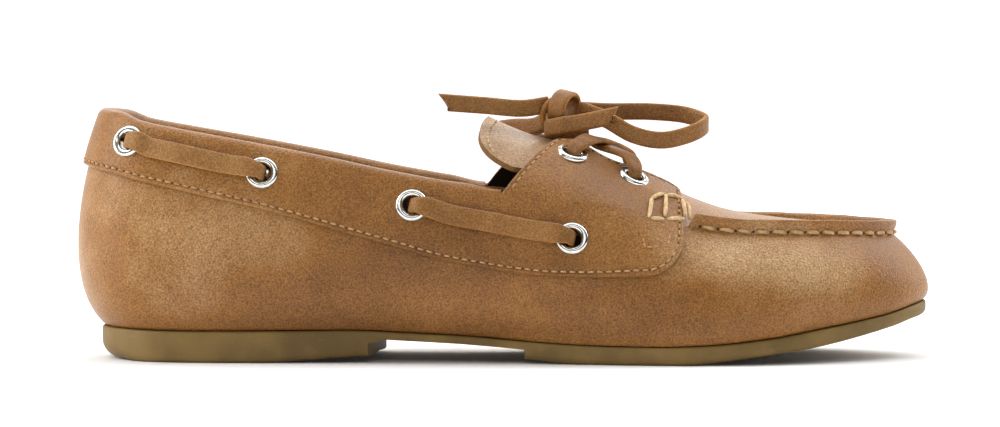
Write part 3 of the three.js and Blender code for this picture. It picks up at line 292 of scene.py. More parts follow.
# share, width, low bulge, its height, high bulge, its height
swellRows = [
    (0, heel, 0.205, 0.16, 0.16, 0.6), (0.08, heel, 0.165, 0.15, 0.155, 0.6), (0.2, heel, 0.125, 0.18, 0.14, 0.6),
    (0.34, heel, 0.125, 0.22, 0.12, 0.62), (0.48, ball, 0.1, 0.24, 0.08, 0.68), (0.6, ball, 0.082, 0.25, 0.105, 0.72),
    (0.72, ball, 0.078, 0.25, 0.13, 0.78), (0.84, ball, 0.07, 0.24, 0.13, 0.78), (0.93, ball, 0.055, 0.2, 0.09, 0.74),
    (1, ball, 0.058, 0.17, 0.092, 0.7),
]
lowOut = [(r[0], r[2] * r[1]) for r in swellRows]
lowAt = [(r[0], r[3]) for r in swellRows]
highOut = [(r[0], r[4] * r[1]) for r in swellRows]
highAt = [(r[0], r[5]) for r in swellRows]


def bezier(a, b, c, d, t):
    t = np.asarray(t, float)[..., None]
    return a * (1 - t) ** 3 + b * 3 * (1 - t) ** 2 * t + c * 3 * (1 - t) * t * t + d * t ** 3


def feather(angle):
    foot = soleInset(angle, form["featherInset"])
    foot[..., 2] = soleTop(foot[..., 0]) + form["gap"]
    return foot


def wallPoint(angle, climb):
    angle, climb = np.broadcast_arrays(np.asarray(angle, float), np.asarray(climb, float))
    share = shareOf(angle)
    foot, top, out = feather(angle), shoulder(angle), soleNormal(angle)
    tall = top[..., 2] - foot[..., 2]
    low = foot + out * through(lowOut, share)[..., None]
    low[..., 2] += tall * through(lowAt, share)
    high = top + out * through(highOut, share)[..., None]
    high[..., 2] = foot[..., 2] + tall * through(highAt, share)
    return bezier(foot, low, high, top, climb)


crownBack, crownFore, instep = form["crownRear"], form["crownFront"], form["instep"]
crownShares = [(-0.339, 1.13 * instep), (-0.1582, 1.062 * instep), (0, instep), (0.0847, 0.966 * instep),
               (0.1751, 0.92 * instep), (0.2655, 0.868 * instep), (0.3559, 0.812 * instep), (0.4441, 1.3 * seamH),
               (0.5085, 1.235 * seamH), (0.5819, 1.175 * seamH), (0.6723, 1.13 * seamH), (0.8079, 1.09 * seamH),
               (1, 1.045 * seamH)]
crownLine = [(crownBack + (crownFore - crownBack) * along, z) for along, z in crownShares]
ribUp = [(0.38, 0.5), (0.5, 0.5), (0.6, 0.42), (0.68, 0.34), (0.76, 0.3), (1, 0.3)]
ribIn = [(0.38, 0.12), (0.5, 0.14), (0.6, 0.2), (0.68, 0.3), (0.76, 0.3), (1, 0.3)]
ribLevel = [(0.38, 0.5), (0.5, 0.5), (0.6, 0.48), (0.68, 0.4), (0.76, 0.4), (1, 0.4)]


def crown(share):
    x = mix(crownBack, crownFore, (share - form["flapRear"]) / (1 - form["flapRear"]))
    return stack(x, form["toeSwing"] * ease(crownBack, crownFore, x) * 0.9, through(crownLine, x))


def domePoint(angle, over):
    angle, over = np.broadcast_arrays(np.asarray(angle, float), np.asarray(over, float))
    share = shareOf(angle)
    start, end = shoulder(angle), crown(share)
    span = end - start
    inward, up, level = through(ribIn, share), through(ribUp, share), through(ribLevel, share)
    first = start + span * stack(inward, inward, up)
    second = end - span * stack(level, level, 0 * level)
    return bezier(start, first, second, end, over)


def formPoint(angle, height):
    angle, height = np.broadcast_arrays(np.asarray(angle, float), np.asarray(height, float))
    wall = wallPoint(angle, np.clip(height, 0, 1))
    dome = domePoint(angle, np.clip(height - 1, 0, 1))
    return np.where((height <= 1)[..., None], wall, dome)


def formNormal(angle, height, side):
    angle, height = np.broadcast_arrays(np.asarray(angle, float), np.asarray(height, float))
    turn, climb = 0.012, 0.02
    low, high = (0, 1) if side == "wall" else (1, 2 - climb / 2)
    middle = np.clip(height, low + climb / 2, high - climb / 2)
    point = wallPoint if side == "wall" else lambda a, h: domePoint(a, h - 1)
    along = point(angle + turn, middle) - point(angle - turn, middle)
    up = point(angle, middle + climb / 2) - point(angle, middle - climb / 2)
    return unit(np.cross(along, up))


def offForm(angle, height, off, side):
    normal = formNormal(angle, height, side)
    return formPoint(angle, height) + normal * np.asarray(off, float)[..., None]


def heightAtZ(angle, z, top=2.0):
    angle, z = np.broadcast_arrays(np.asarray(angle, float), np.asarray(z, float))
    low, high = bisect(np.zeros(angle.shape), np.full(angle.shape, top), 24,
                       lambda middle: formPoint(angle, middle)[..., 2] < z)
    return (low + high) / 2


def cornerDrop(distance, radius):
    inside = np.maximum(0, radius ** 2 - np.maximum(0, radius - distance) ** 2)
    return np.where(distance >= radius, 0, radius - np.sqrt(inside))


# mesh building
def selectOnly(piece):
    bpy.ops.object.select_all(action="DESELECT")
    bpy.context.view_layer.objects.active = piece
    piece.select_set(True)


def joinAll(pieces):
    selectOnly(pieces[0])
    for piece in pieces[1:]:
        piece.select_set(True)
    bpy.ops.object.join()
    return pieces[0]


def cutAway(piece, cutter):
    modifier = piece.modifiers.new("cut", "BOOLEAN")
    modifier.operation, modifier.object, modifier.solver = "DIFFERENCE", cutter, "EXACT"
    selectOnly(piece)
    bpy.ops.object.modifier_apply(modifier=modifier.name)
    bpy.data.objects.remove(cutter)


def newObject(name, points, faces, slots, materials):
    mesh = bpy.data.meshes.new(name)
    shifted = (np.asarray(points, float) + np.array(form["shift"])) * mm
    mesh.from_pydata(shifted.tolist(), [], faces)
    for material in materials:
        mesh.materials.append(material)
    if slots is not None:
        mesh.polygons.foreach_set("material_index", slots)
    piece = bpy.data.objects.new(name, mesh)
    bpy.context.scene.collection.objects.link(piece)
    selectOnly(piece)
    return piece


def tidyMesh(piece, angle=40):
    distance = 0.02 * mm
    bm = bmesh.new()
    bm.from_mesh(piece.data)
    bmesh.ops.remove_doubles(bm, verts=bm.verts, dist=distance)
    bmesh.ops.dissolve_degenerate(bm, edges=bm.edges, dist=distance / 4)
    bmesh.ops.recalc_face_normals(bm, faces=bm.faces)
    bm.to_mesh(piece.data)
    bm.free()
    bpy.ops.object.shade_smooth_by_angle(angle=math.radians(angle))
    return piece


def roundEdges(piece, width, angle=50):
    modifier = piece.modifiers.new("edges", "BEVEL")
    modifier.width = width * mm
    modifier.segments = 2
    modifier.limit_method = "ANGLE"
    modifier.angle_limit = math.radians(angle)
    selectOnly(piece)
    bpy.ops.object.modifier_apply(modifier=modifier.name)
    bpy.ops.object.shade_smooth_by_angle(angle=math.radians(60))
    return piece


# a closed sheet between an outer and an inner grid of points [column, row]; slots: outer skin, inner skin, rim
def sheetMesh(name, outer, inner, materials=(), wraps=False, present=None, joinsOnTop=False):
    columns, rows = outer.shape[:2]
    cells = columns if wraps else columns - 1
    points = np.concatenate([outer.reshape(-1, 3), inner.reshape(-1, 3)])
    half = columns * rows
    has = np.ones((cells, rows - 1), bool) if present is None else present
    faces, slots = [], []

    def at(c, r):
        return (c % columns) * rows + r

    def filled(c, r):
        if r < 0 or r >= rows - 1 or (not wraps and (c < 0 or c >= cells)):
            return False
        return has[c % cells, r]

    for c in range(cells):
        for r in range(rows - 1):
            if not has[c, r]:
                continue
            a, b, d, e = at(c, r), at(c + 1, r), at(c + 1, r + 1), at(c, r + 1)
            faces.append((a, b, d, e))
            slots.append(0)
            faces.append((a + half, e + half, d + half, b + half))
            slots.append(1)
            rims = []
            if not filled(c, r - 1):
                rims.append((a, a + half, b + half, b))
            if not filled(c, r + 1) and not (joinsOnTop and r == rows - 2):
                rims.append((e, d, d + half, e + half))
            if not filled(c - 1, r):
                rims.append((a, e, e + half, a + half))
            if not filled(c + 1, r):
                rims.append((b, b + half, d + half, d))
            faces.extend(rims)
            slots.extend([2] * len(rims))
    return newObject(name, points, faces, slots, materials)


# stations along the foot, denser beside the edges that have stitching
edgeSteps = [0, 0.12, 0.3, 0.55, 0.85, 1.15, 1.4, 1.65, 1.95, 2.35, 2.9, 3.7]
throatShare = form["flapFront"] - form["flapCorner"] / soleLength
ridgeStart = form["flapFront"] + 0.004
ridgeRun = 0.012
rearAngles = {"outer": stationAt(form["flapRear"]),
              "inner": stationAt(form["flapRear"] - form["innerReach"])}


def rearOf(angle):  # where the flap leaves the topline on this side
    return np.where(outerSide(angle), rearAngles["outer"], rearAngles["inner"])


def foldEndOf(angle):
    return rearOf(angle) - 0.004


def fillBetween(values, step):
    values = sorted(set(round(float(v), 6) for v in values))
    filled = []
    for low, high in zip(values[:-1], values[1:]):
        count = max(1, math.ceil((high - low) / step))
        filled.extend(low + (high - low) * k / count for k in range(count))
    return filled + [values[-1]]


def collarStations(side):
    return fillBetween([0, rearAngles[side] - 0.004], 0.0125)


def flapStations(side):
    marks = [stationAt(shareOf(rearAngles[side]) + d / soleLength) for d in edgeSteps]
    marks += [stationAt(form["flapFront"] - d / soleLength) for d in edgeSteps]
    return fillBetween([rearAngles[side] - 0.004, *marks], 0.0125)


toeStations = fillBetween([stationAt(form["flapFront"]), stationAt(ridgeStart),
                           stationAt(ridgeStart + ridgeRun / 2), stationAt(ridgeStart + ridgeRun), math.pi],
                          0.0125)


def sideStations(side, toToe=True):
    return collarStations(side) + flapStations(side)[1:] + (toeStations[1:] if toToe else [])


def roundTheShoe(outer, inner):
    return np.array(outer + [2 * math.pi - a for a in inner[::-1] if 1e-6 < a < math.pi - 1e-6])


def bothSides():
    return roundTheShoe(sideStations("outer"), sideStations("inner"))


def sided(angle, side):
    return angle if side == "outer" else 2 * math.pi - angle


# shader wiring
class Wire:
    def __init__(self, tree, socket=None):
        self.tree, self.socket = tree, socket

    def node(self, kind, settings=None, values=None, output=0):
        made = self.tree.nodes.new("ShaderNode" + kind)
        for name, value in (settings or {}).items():
            if name == "stops":
                for k, (place, color) in enumerate(value):
                    stops = made.color_ramp.elements
                    stop = stops[k] if k < 2 else stops.new(place)
                    stop.position, stop.color = place, color
            else:
                setattr(made, name, value)
        for name, value in (values or {}).items():
            if isinstance(value, Wire):
                self.tree.links.new(value.socket, made.inputs[name])
            else:
                made.inputs[name].default_value = value
        return Wire(self.tree, made.outputs[output])

    def math(self, operation, first, second):
        return self.node("Math", {"operation": operation}, {0: first, 1: second})

    def __add__(self, other):
        return self.math("ADD", self, other)

    def __sub__(self, other):
        return self.math("SUBTRACT", self, other)

    def __mul__(self, other):
        return self.math("MULTIPLY", self, other)

    def __rsub__(self, other):
        return self.math("SUBTRACT", other, self)

    __radd__ = __add__
    __rmul__ = __mul__

    def between(self, low, high):
        return self.node("MapRange", {"interpolation_type": "SMOOTHSTEP"},
                         {"Value": self, "From Min": low, "From Max": high})

    def blend(self, first, second):
        return self.node("Mix", {"data_type": "RGBA"}, {0: self, 6: first, 7: second}, 2)

    def noise(self, place, scale, detail=2, rough=0.5):
        return self.node("TexNoise", {}, {"Vector": place, "Scale": scale, "Detail": detail, "Roughness": rough})

    def bump(self, shader, height, deep, strength=1.0):
        self.node("Bump", {}, {"Strength": strength, "Distance": deep * mm, "Height": height}).feed(shader, "Normal")

    def feed(self, shader, name):
        self.tree.links.new(self.socket, shader.inputs[name])


def color(red, green, blue):
    linear = [((v / 255 + 0.055) / 1.055) ** 2.4 if v > 10 else v / 255 / 12.92 for v in (red, green, blue)]
    return (*linear, 1)


def newMaterial(name, roughness, specular, **constants):
    material = bpy.data.materials.new(name)
    material.use_nodes = True
    shader = material.node_tree.nodes["Principled BSDF"]
    shader.inputs["Roughness"].default_value = roughness
    shader.inputs["Specular IOR Level"].default_value = specular
    for name, value in constants.items():
        shader.inputs[name.replace("_", " ")].default_value = value
    return material, shader, Wire(material.node_tree)


# leather: base, deep and pale colour, then patch and grain size and bump in millimetres, and roughness;
# the painted sheen and shade, with a tone for each piece, is read from the piece's own attribute and moves the colour
# towards the pale or the deep colour
leatherLooks = {
    "upperLeather": ((152, 103, 48), (112, 70, 28), (188, 152, 108), 14, 0.62, 0.14, 0.36),
    "bandLeather": ((149, 101, 47), (110, 69, 27), (186, 150, 106), 13, 0.62, 0.14, 0.36),
    "laceLeather": ((138, 94, 44), (98, 62, 28), (168, 124, 72), 7, 0.5, 0.12, 0.46),
    "tongueLeather": ((158, 124, 88), (120, 86, 50), (198, 170, 138), 12, 0.62, 0.14, 0.36),
    "footbedLeather": ((142, 104, 64), (104, 72, 40), (168, 128, 84), 10, 0.7, 0.12, 0.55),
    "liningLeather": ((52, 42, 34), (32, 26, 21), (76, 62, 50), 9, 0.5, 0.1, 0.7),
    "edgeLeather": ((140, 100, 58), (92, 62, 34), (176, 136, 92), 2.5, 0.35, 0.2, 0.75),
    "laceEdge": ((172, 116, 54), (104, 68, 32), (200, 152, 88), 2.5, 0.3, 0.2, 0.75),
}


grainSet = {"dark": (0.48, 0.46, 0.42, 1), "light": (1.42, 1.42, 1.42, 1), "speck": 0.78, "cloud": 3.1,
            "specular": 0.32}


def leatherMaterial(name, look):
    base, deep, paleAndSheen, patch, grain, bump, roughness = look
    material, shader, wire = newMaterial(name, roughness, grainSet["specular"])
    place = wire.node("TexCoord", output="Object")
    perMetre = 1 / mm
    patches = wire.noise(place, perMetre / patch, 4, 0.62)
    clouds = wire.noise(place, perMetre / (patch * grainSet["cloud"]))
    speckle = wire.noise(place, perMetre / (grain * grainSet["speck"]), 3, 0.7)
    # painted sheen and painted shade, read from the piece's attribute, lighten or darken the leather's colour
    sheenShadeAndTone = wire.node("Attribute", {"attribute_name": "sheenShadeAndTone"}, output="Fac")
    tone = patches * 0.5 + clouds * 0.4 + sheenShadeAndTone - 0.45
    stops = [(0.12, color(*deep)), (0.88, color(*paleAndSheen)), (0.5, color(*base))]
    toned = wire.node("ValToRGB", {"stops": stops}, {"Fac": tone + 0.5})
    shade = speckle.between(0.3, 0.7).blend(grainSet["dark"], grainSet["light"])
    wire.node("Mix", {"data_type": "RGBA", "blend_type": "MULTIPLY"}, {0: 1.0, 6: toned, 7: shade}, 2).feed(
        shader, "Base Color")
    cells = wire.node("TexVoronoi", {"feature": "SMOOTH_F1"},
                      {"Vector": place, "Scale": perMetre / grain, "Smoothness": 0.6})
    wire.bump(shader, cells * -1.0 + speckle * 0.7 + patches * 0.8, bump)
    (patches * 0.16 + speckle * 0.2 + (roughness - 0.18)).feed(shader, "Roughness")
    return material


leathers = {name: leatherMaterial(name, look) for name, look in leatherLooks.items()}


def skins(name):
    return leathers[name], leathers["liningLeather"], leathers["edgeLeather"]


rubberLook = {"dark": (104, 81, 39), "light": (143, 115, 61), "scuff": (150, 132, 92)}


def rubberMaterial(look):
    material, shader, wire = newMaterial("soleRubber", 0.62, 0.4)
    place = wire.node("TexCoord", output="Object")
    cloud, fine = wire.noise(place, 55, 3), wire.noise(place, 1500, 2, 0.7)
    scuff = wire.noise(wire.node("Mapping", {}, {"Vector": place, "Scale": (1, 1, 6)}), 260, 3)
    tone = cloud.between(0.3, 0.7) * 0.7 + fine * 0.3
    body = tone.blend(color(*look["dark"]), color(*look["light"]))
    (scuff.between(0.62, 0.74) * 0.25).blend(body, color(*look["scuff"])).feed(shader, "Base Color")
    wire.bump(shader, fine + scuff * 0.6, 0.1)
    (fine * 0.2 + 0.5).feed(shader, "Roughness")
    return material


metalLook = {"bright": (226, 226, 222), "worn": (200, 200, 196)}


def metalMaterial(look):
    material, shader, wire = newMaterial("polishedMetal", 0.14, 0.5, Metallic=1.0)
    wear = wire.noise(wire.node("TexCoord", output="Object"), 900, 3)
    wear.between(0.35, 0.75).blend(color(*look["bright"]), color(*look["worn"])).feed(shader, "Base Color")
    (wear * 0.14 + 0.1).feed(shader, "Roughness")
    wire.bump(shader, wear, 0.006, 0.4)
    return material


threadLooks = {  # light and dark shade of the fibre
    "machineThread": ((214, 174, 122), (156, 112, 68)), "handThread": ((226, 192, 142), (160, 120, 76)),
    # the needle-hole colour is painted shade: the dark inside of the holes
    "needleHoleShade": ((98, 64, 36), (62, 40, 22)), "boxThread": ((240, 214, 168), (178, 138, 92)),
}


def threadMaterial(name, light, dark):
    material, shader, wire = newMaterial(name, 0.7, 0.3)
    place = wire.node("TexCoord", output="Object")
    fibre, strand = wire.noise(place, 4200), wire.noise(place, 800)
    (fibre * 0.6 + strand * 0.5).between(0.3, 0.8).blend(color(*dark), color(*light)).feed(shader, "Base Color")
    wire.bump(shader, fibre, 0.08, 0.8)
    return material


# lit from within away from the shoe, so that the ground stays white and the shadow shows
def paperMaterial(f):
    material, shader, wire = newMaterial("whitePaper", 0.9, 0.1)
    shader.inputs["Base Color"].default_value = (0.9, 0.9, 0.9, 1)
    place = wire.node("TexCoord", output="Object")
    squeezed = wire.node("Mapping", {}, {"Vector": place, "Scale": (f["squeeze"], 1, 1)})
    away = wire.node("VectorMath", {"operation": "LENGTH"}, {0: squeezed}, "Value")
    near = (f["dim"], f["dim"], f["dim"], 1)
    away.between(f["dimNear"], f["dimTo"]).blend(near, (1, 1, 1, 1)).feed(shader, "Emission Color")
    shader.inputs["Emission Strength"].default_value = f["glow"]
    return material


studioFloor.data.materials.append(paperMaterial(floorSet))
rubber = rubberMaterial(rubberLook)
metal = metalMaterial(metalLook)
threads = {name: threadMaterial(name, *shades) for name, shades in threadLooks.items()}
print("materials are made")


def dress(piece, slot, *nodes):
    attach(piece, "root")
    if nodes:
        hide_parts(*nodes)
    return piece


# creases, and patches of painted sheen and shade: x, z, half length, half width, lean in degrees, depth (dents are
# negative)
creases = [
    (36, 14, 15, 2.6, 8, -0.35), (44, 19, 13, 2.2, 4, 0.25), (28, 22, 14, 2.4, 16, -0.3),
    (60, 20, 11, 2.6, -12, -0.3), (66, 26, 10, 2.4, -18, 0.2), (-30, 20, 18, 3.2, 12, -0.4),
    (-38, 27, 16, 3.2, 14, 0.25), (-8, 18, 14, 3, 6, -0.35), (-96, 24, 9, 3, -50, -0.3), (-88, 14, 14, 3, 4, -0.35),
    (-60, 36, 18, 3.5, -6, -0.25), (92, 22, 9, 3, 10, -0.25), (8, 33, 12, 3, -4, -0.25), (16, 26, 10, 2.6, 8, 0.2),
]
# painted sheen and shade on the leather: the lighter patches are painted sheen, on the heel and the toe most; the
# darker ones are painted shade, at the waist, on the flap and towards the bottom
sheenAndShadePatches = [  # x, z, half length, half height, lighter or darker
    (-84, 36, 26, 15, 0.22), (-112, 26, 8, 18, -0.05), (-58, 20, 26, 9, -0.1), (-30, 30, 24, 14, -0.22),
    (-12, 18, 18, 8, 0.1), (14, 24, 26, 14, -0.16), (50, 16, 24, 9, -0.2), (86, 27, 15, 6, 0.3),
    (64, 31, 15, 6, 0.28), (112, 26, 7, 9, -0.14), (92, 14, 20, 6, -0.06), (-84, 10, 34, 4, -0.12),
    (0, 10, 90, 3.5, -0.12), (74, 45, 30, 20, 0.08), (-30, 44, 40, 8, -0.05), (28, 52, 18, 9, -0.12),
    (104, 38, 10, 8, -0.06),
]


def creaseDepth(points):
    total = np.zeros(points.shape[:-1])
    for x, z, long, wide, lean, depth in creases:
        turn = math.radians(lean)
        dx, dz = points[..., 0] - x, points[..., 2] - z
        along = dx * math.cos(turn) + dz * math.sin(turn)
        across = -dx * math.sin(turn) + dz * math.cos(turn)
        total += depth * np.exp(-(along / long) ** 2 * 1.4 - (across / wide) ** 2)
    return total


# stores the painted sheen and shade of the patches, plus a tone for the whole piece, as a point attribute
def addSheenShadeAndTone(piece, extra=0.0):
    places = np.empty(len(piece.data.vertices) * 3)
    piece.data.vertices.foreach_get("co", places)
    x, z = (places.reshape(-1, 3) / mm - np.array(form["shift"]))[:, [0, 2]].T
    tone = np.full(len(x), extra)
    for px, pz, rx, rz, value in sheenAndShadePatches:
        tone += value * np.exp(-((x - px) / rx) ** 2 - ((z - pz) / rz) ** 2)
    attribute = piece.data.attributes.new("sheenShadeAndTone", "FLOAT", "POINT")
    attribute.data.foreach_set("value", tone.astype(np.float32))


# upper: wall, raised toe seam of two leather edges, and apron
upperSet = {"wallSteps": 40, "domeSteps": 30, "stitchPitch": 5.3, "tuck": 0.93, "seamLean": 0.18}
ridgeSection = [  # inwards, upwards as shares of the seam's width and height, and how much the thread pinches it
    (0.05, 0.1, 0.6), (0.06, 0.2, 1), (0.03, 0.32, 0.8), (-0.03, 0.48, 0.3), (-0.05, 0.66, 0), (-0.03, 0.84, 0),
    (0.02, 0.95, 0), (0.1, 1, 0), (0.26, 1.01, 0), (0.4, 0.98, 0), (0.46, 0.88, 0), (0.5, 0.78, 0), (0.54, 0.86, 0),
    (0.6, 0.94, 0), (0.74, 0.96, 0), (0.88, 0.95, 0), (0.96, 0.88, 0), (1.0, 0.7, 0), (1.01, 0.45, 0.2),
    (0.98, 0.22, 0.6), (0.97, 0.08, 0.3),
]


seamAngles = np.linspace(stationAt(ridgeStart), 2 * math.pi - stationAt(ridgeStart), 1200)
seamTravel = travelAlong(shoulder(seamAngles))


def addUpper(u):
    angles = bothSides()
    share = shareOf(angles)
    raised = ease(ridgeStart, ridgeStart + ridgeRun, share)
    edge = np.where(share >= throatShare - 1e-6, 1, mix(1, u["tuck"], ease(form["flapRear"], throatShare, share)))
    travel = np.interp(angles, seamAngles, seamTravel)
    pinch = np.cos(2 * math.pi * travel / u["stitchPitch"]) * 0.5 + 0.5
    out = soleNormal(angles)
    up = stack(out[:, 0] * u["seamLean"], out[:, 1] * u["seamLean"], 1)
    wobble = 1 + 0.012 * np.sin(travel / 3.1) + 0.01 * np.sin(travel / 1.7 + 1)

    def column(off, ridge):
        rows = []
        for i in range(u["wallSteps"] + 1):
            point = offForm(angles, edge * i / u["wallSteps"], off, "wall")
            if i == 0:
                point[:, 2] = feather(angles)[:, 2]
            rows.append(point)
        top = rows[-1]
        for inwards, upwards, hold in ridgeSection:
            across = -out * (form["ridgeWidth"] * (inwards + 0.09 * hold * pinch * ridge) * raised)[:, None]
            rise = up * (form["ridgeHeight"] * raised * ridge * upwards * wobble)[:, None]
            rows.append(top + across + rise)
        wide = -out * (form["ridgeWidth"] * raised)[:, None]
        for i in range(u["domeSteps"] + 1):
            over = (i / u["domeSteps"]) ** 1.15
            dome = offForm(angles, 1 + over, off, "dome")
            rows.append(top + wide if i == 0 else dome + wide * (1 - over) ** 2)
        return np.stack(rows, axis=1)

    outer, inner = column(0, 1), column(-form["upperWall"], 0)
    top = crown(share)
    outer[:, -1] = top
    inner[:, -1] = top - np.array([0, 0, form["upperWall"]])
    climb, wall = np.linspace(0, 1, u["wallSteps"] + 1), slice(u["wallSteps"] + 1)
    normals = formNormal(angles[:, None], climb * edge[:, None], "wall")
    outer[:, wall] += normals * (creaseDepth(outer[:, wall]) * np.sin(climb * math.pi) ** 0.5)[..., None]
    rows = outer.shape[1] - 1
    middle = (angles + np.append(angles[1:], 2 * math.pi)) / 2
    present = np.ones((len(angles), rows), bool)
    present[:, u["wallSteps"]:] = (shareOf(middle) >= throatShare)[:, None]
    return tidyMesh(sheetMesh("upperShell", outer, inner, skins("upperLeather"), True, present, True), 55)


# quarter overlay: collar band with folded topline, and lacing flaps
overlaySet = {"heelZ": 56.4, "flapZ": 25.2, "foldTurns": 16, "foldDown": 8, "edgeRound": 0.75, "seamIn": 1.5,
              "seamSink": 0.1}
bandHeel, bandFlap = overlaySet["heelZ"], overlaySet["flapZ"]
bandLine = [(0, bandHeel), (0.03, 0.965 * bandHeel), (0.066, 0.92 * bandHeel), (0.126, 0.86 * bandHeel),
            (0.2, 0.785 * bandHeel), (0.257, 0.72 * bandHeel), (0.311, 0.654 * bandHeel), (0.364, 1.33 * bandFlap),
            (0.411, 1.206 * bandFlap), (0.458, 1.119 * bandFlap), (0.506, 1.052 * bandFlap),
            (0.553, 1.008 * bandFlap), (0.6, bandFlap), (0.66, 1.012 * bandFlap), (0.72, 1.05 * bandFlap)]


def flapLiftAt(share, height):
    return (form["flapLift"] * ease(0.98, 1.25, height) * (1 - 0.5 * ease(0.6, 0.65, share))
            + form["cornerLift"] * ease(1.2, 1.75, height) * (1 - ease(0.5, 0.61, share)))


def flapPadAt(share, height):
    return form["frontPad"] * ease(0.6, 0.66, share) * ease(1.05, 1.35, height)


def overlayOff(angle, height):
    share = shareOf(angle)
    return form["gap"] + form["overlayWall"] + flapLiftAt(share, height) + flapPadAt(share, height)


def leanAngle(angle, height):  # higher up, a flap's column stands on a station further along
    share, rear = shareOf(angle), shareOf(rearOf(angle))
    fade = 1 - ease(rear, 0.62, share)
    leaned = angleOf(share + form["flapLean"] * np.maximum(0, height - 1) * fade)
    return np.where(outerSide(angle), leaned, 2 * math.pi - leaned)


def flapEdge(angle):
    share = shareOf(angle)
    x = crown(share)[..., 0]
    rear, front = x - crown(shareOf(rearOf(angle)))[..., 0], crown(form["flapFront"])[..., 0] - x
    corner = np.maximum(cornerDrop(np.maximum(rear, 0), form["flapTopCorner"]),
                        cornerDrop(np.maximum(front, 0), form["flapTopCorner"]))

    def isWide(middle):
        aside = np.abs(formPoint(leanAngle(angle, middle), middle)[..., 1] - crown(share)[..., 1])
        return aside > form["laceGap"] + corner

    return bisect(np.ones_like(share), np.full_like(share, 2), 24, isWide)[0]


def flapSpan(angles, edge):
    return np.linalg.norm(domePoint(leanAngle(angles, edge), edge - 1) - shoulder(angles), axis=1)


def bandLow(angle):
    share = shareOf(angle)
    ahead = (form["flapFront"] - share) * soleLength
    return heightAtZ(angle, through(bandLine, share) + cornerDrop(np.maximum(ahead, 0), form["flapCorner"]), 1)


def overlayColumns(angles):
    low = bandLow(angles)
    tall = np.linalg.norm(wallPoint(angles, 1) - wallPoint(angles, low), axis=1)
    marks = np.array(edgeSteps + [4.8, 6.2, 7.8])
    rest = np.linspace(0, 1, 18)[1:]
    shares = np.minimum(marks / tall[:, None], 0.6 * np.arange(len(marks)) / len(marks) + 0.05)
    start = shares[:, -1:]
    wallHeights = mix(low[:, None], 1, np.concatenate([shares, start + (1 - start) * rest], axis=1))
    edge = flapEdge(angles)
    span = flapSpan(angles, edge)
    near = np.minimum(np.array(edgeSteps[::-1]) / span[:, None], 0.6)
    early = overlaySet["foldTurns"] + overlaySet["foldDown"] - len(edgeSteps)
    flapShares = np.concatenate([(1 - near[:, :1]) * np.arange(1, early + 1) / early, 1 - near], axis=1)
    flapShares[:, early - 1] = (flapShares[:, early - 2] + flapShares[:, early]) / 2
    return wallHeights, 1 + (edge[:, None] - 1) * flapShares, tall, span


def addOverlay(o):
    inner = [2 * math.pi - a for a in sideStations("inner", False)[1:]]
    angles = np.array(sideStations("outer", False)[::-1] + inner)
    folded = halfTurn(angles) < rearOf(angles) - 1e-6
    share = shareOf(angles)
    wallHeights, flapHeights, tall, span = overlayColumns(angles)
    turns, down = o["foldTurns"], o["foldDown"]
    g, t = form["gap"], form["overlayWall"]
    wallFar = (wallHeights - wallHeights[:, :1]) / (1 - wallHeights[:, :1]) * tall[:, None]
    flapFar = (flapHeights[:, -1:] - flapHeights) / (flapHeights[:, -1:] - 1) * span[:, None]
    ahead = (form["flapFront"] - share) * soleLength
    behind = np.where(folded, 99, (share - shareOf(rearOf(angles))) * soleLength)
    wallEdge = np.minimum(wallFar, np.maximum(ahead, 0)[:, None])
    flapEdgeFar = np.minimum(np.minimum(flapFar, np.maximum(ahead, 0)[:, None]), np.maximum(behind, 0)[:, None])

    def thick(distance):
        d = np.clip(distance / o["edgeRound"], 0, 1)
        rounded = 0.4 + 0.6 * np.sqrt(1 - (1 - d) ** 2)
        sunk = 0.26 * np.exp(-((distance - o["seamIn"]) / 0.42) ** 2)
        return rounded - sunk / t

    def skin(offWall, offFlap, offFold, pad):
        wall = offForm(angles[:, None], wallHeights, offWall, "wall")
        dent = creaseDepth(wall) * ease(0, 3, wallEdge)
        wall += formNormal(angles[:, None], wallHeights, "wall") * dent[..., None]
        lift = flapLiftAt(share[:, None], flapHeights) + pad * flapPadAt(share[:, None], flapHeights)
        flap = offForm(leanAngle(angles[:, None], flapHeights), flapHeights, offFlap + lift, "dome")
        side = formNormal(angles, 1, "wall")
        corner = unit(side + formNormal(angles, 1, "dome"))
        up = unit(wallPoint(angles, 1) - wallPoint(angles, 0.96))
        centre = shoulder(angles) - side * form["upperWall"] / 2
        radius = form["upperWall"] / 2 + offFold
        ends = foldEndOf(angles)
        tall = (radius * mix(1, form["foldFlat"], ease(ends - 0.09, ends, halfTurn(angles))))[:, None]
        fold = []
        for k in range(1, turns + 1):
            turn = math.pi * k / turns
            fold.append(centre + side * math.cos(turn) * radius + up * math.sin(turn) * tall)
        for k in range(1, down + 1):
            fold.append(centre - side * radius - up * form["foldDepth"] * k / down)
        fold = np.stack(fold, axis=1)
        wall[:, -1] = np.where(folded[:, None], wall[:, -1], shoulder(angles) + corner * offWall[:, -1:])
        return np.concatenate([wall, np.where(folded[:, None, None], fold, flap)], axis=1)

    low = form["overlayGap"]
    outer = skin(g + t * thick(wallEdge), g + t * thick(flapEdgeFar), g + t, 1)
    inner = skin(np.full_like(wallEdge, low), np.full_like(flapEdgeFar, low), low, 0)
    steps = wallHeights.shape[1] - 1
    present = np.ones((len(angles) - 1, outer.shape[1] - 1), bool)
    present[:, steps:] = (folded[:-1] == folded[1:])[:, None]
    return tidyMesh(sheetMesh("quarterBand", outer, inner, skins("bandLeather"), False, present), 55)


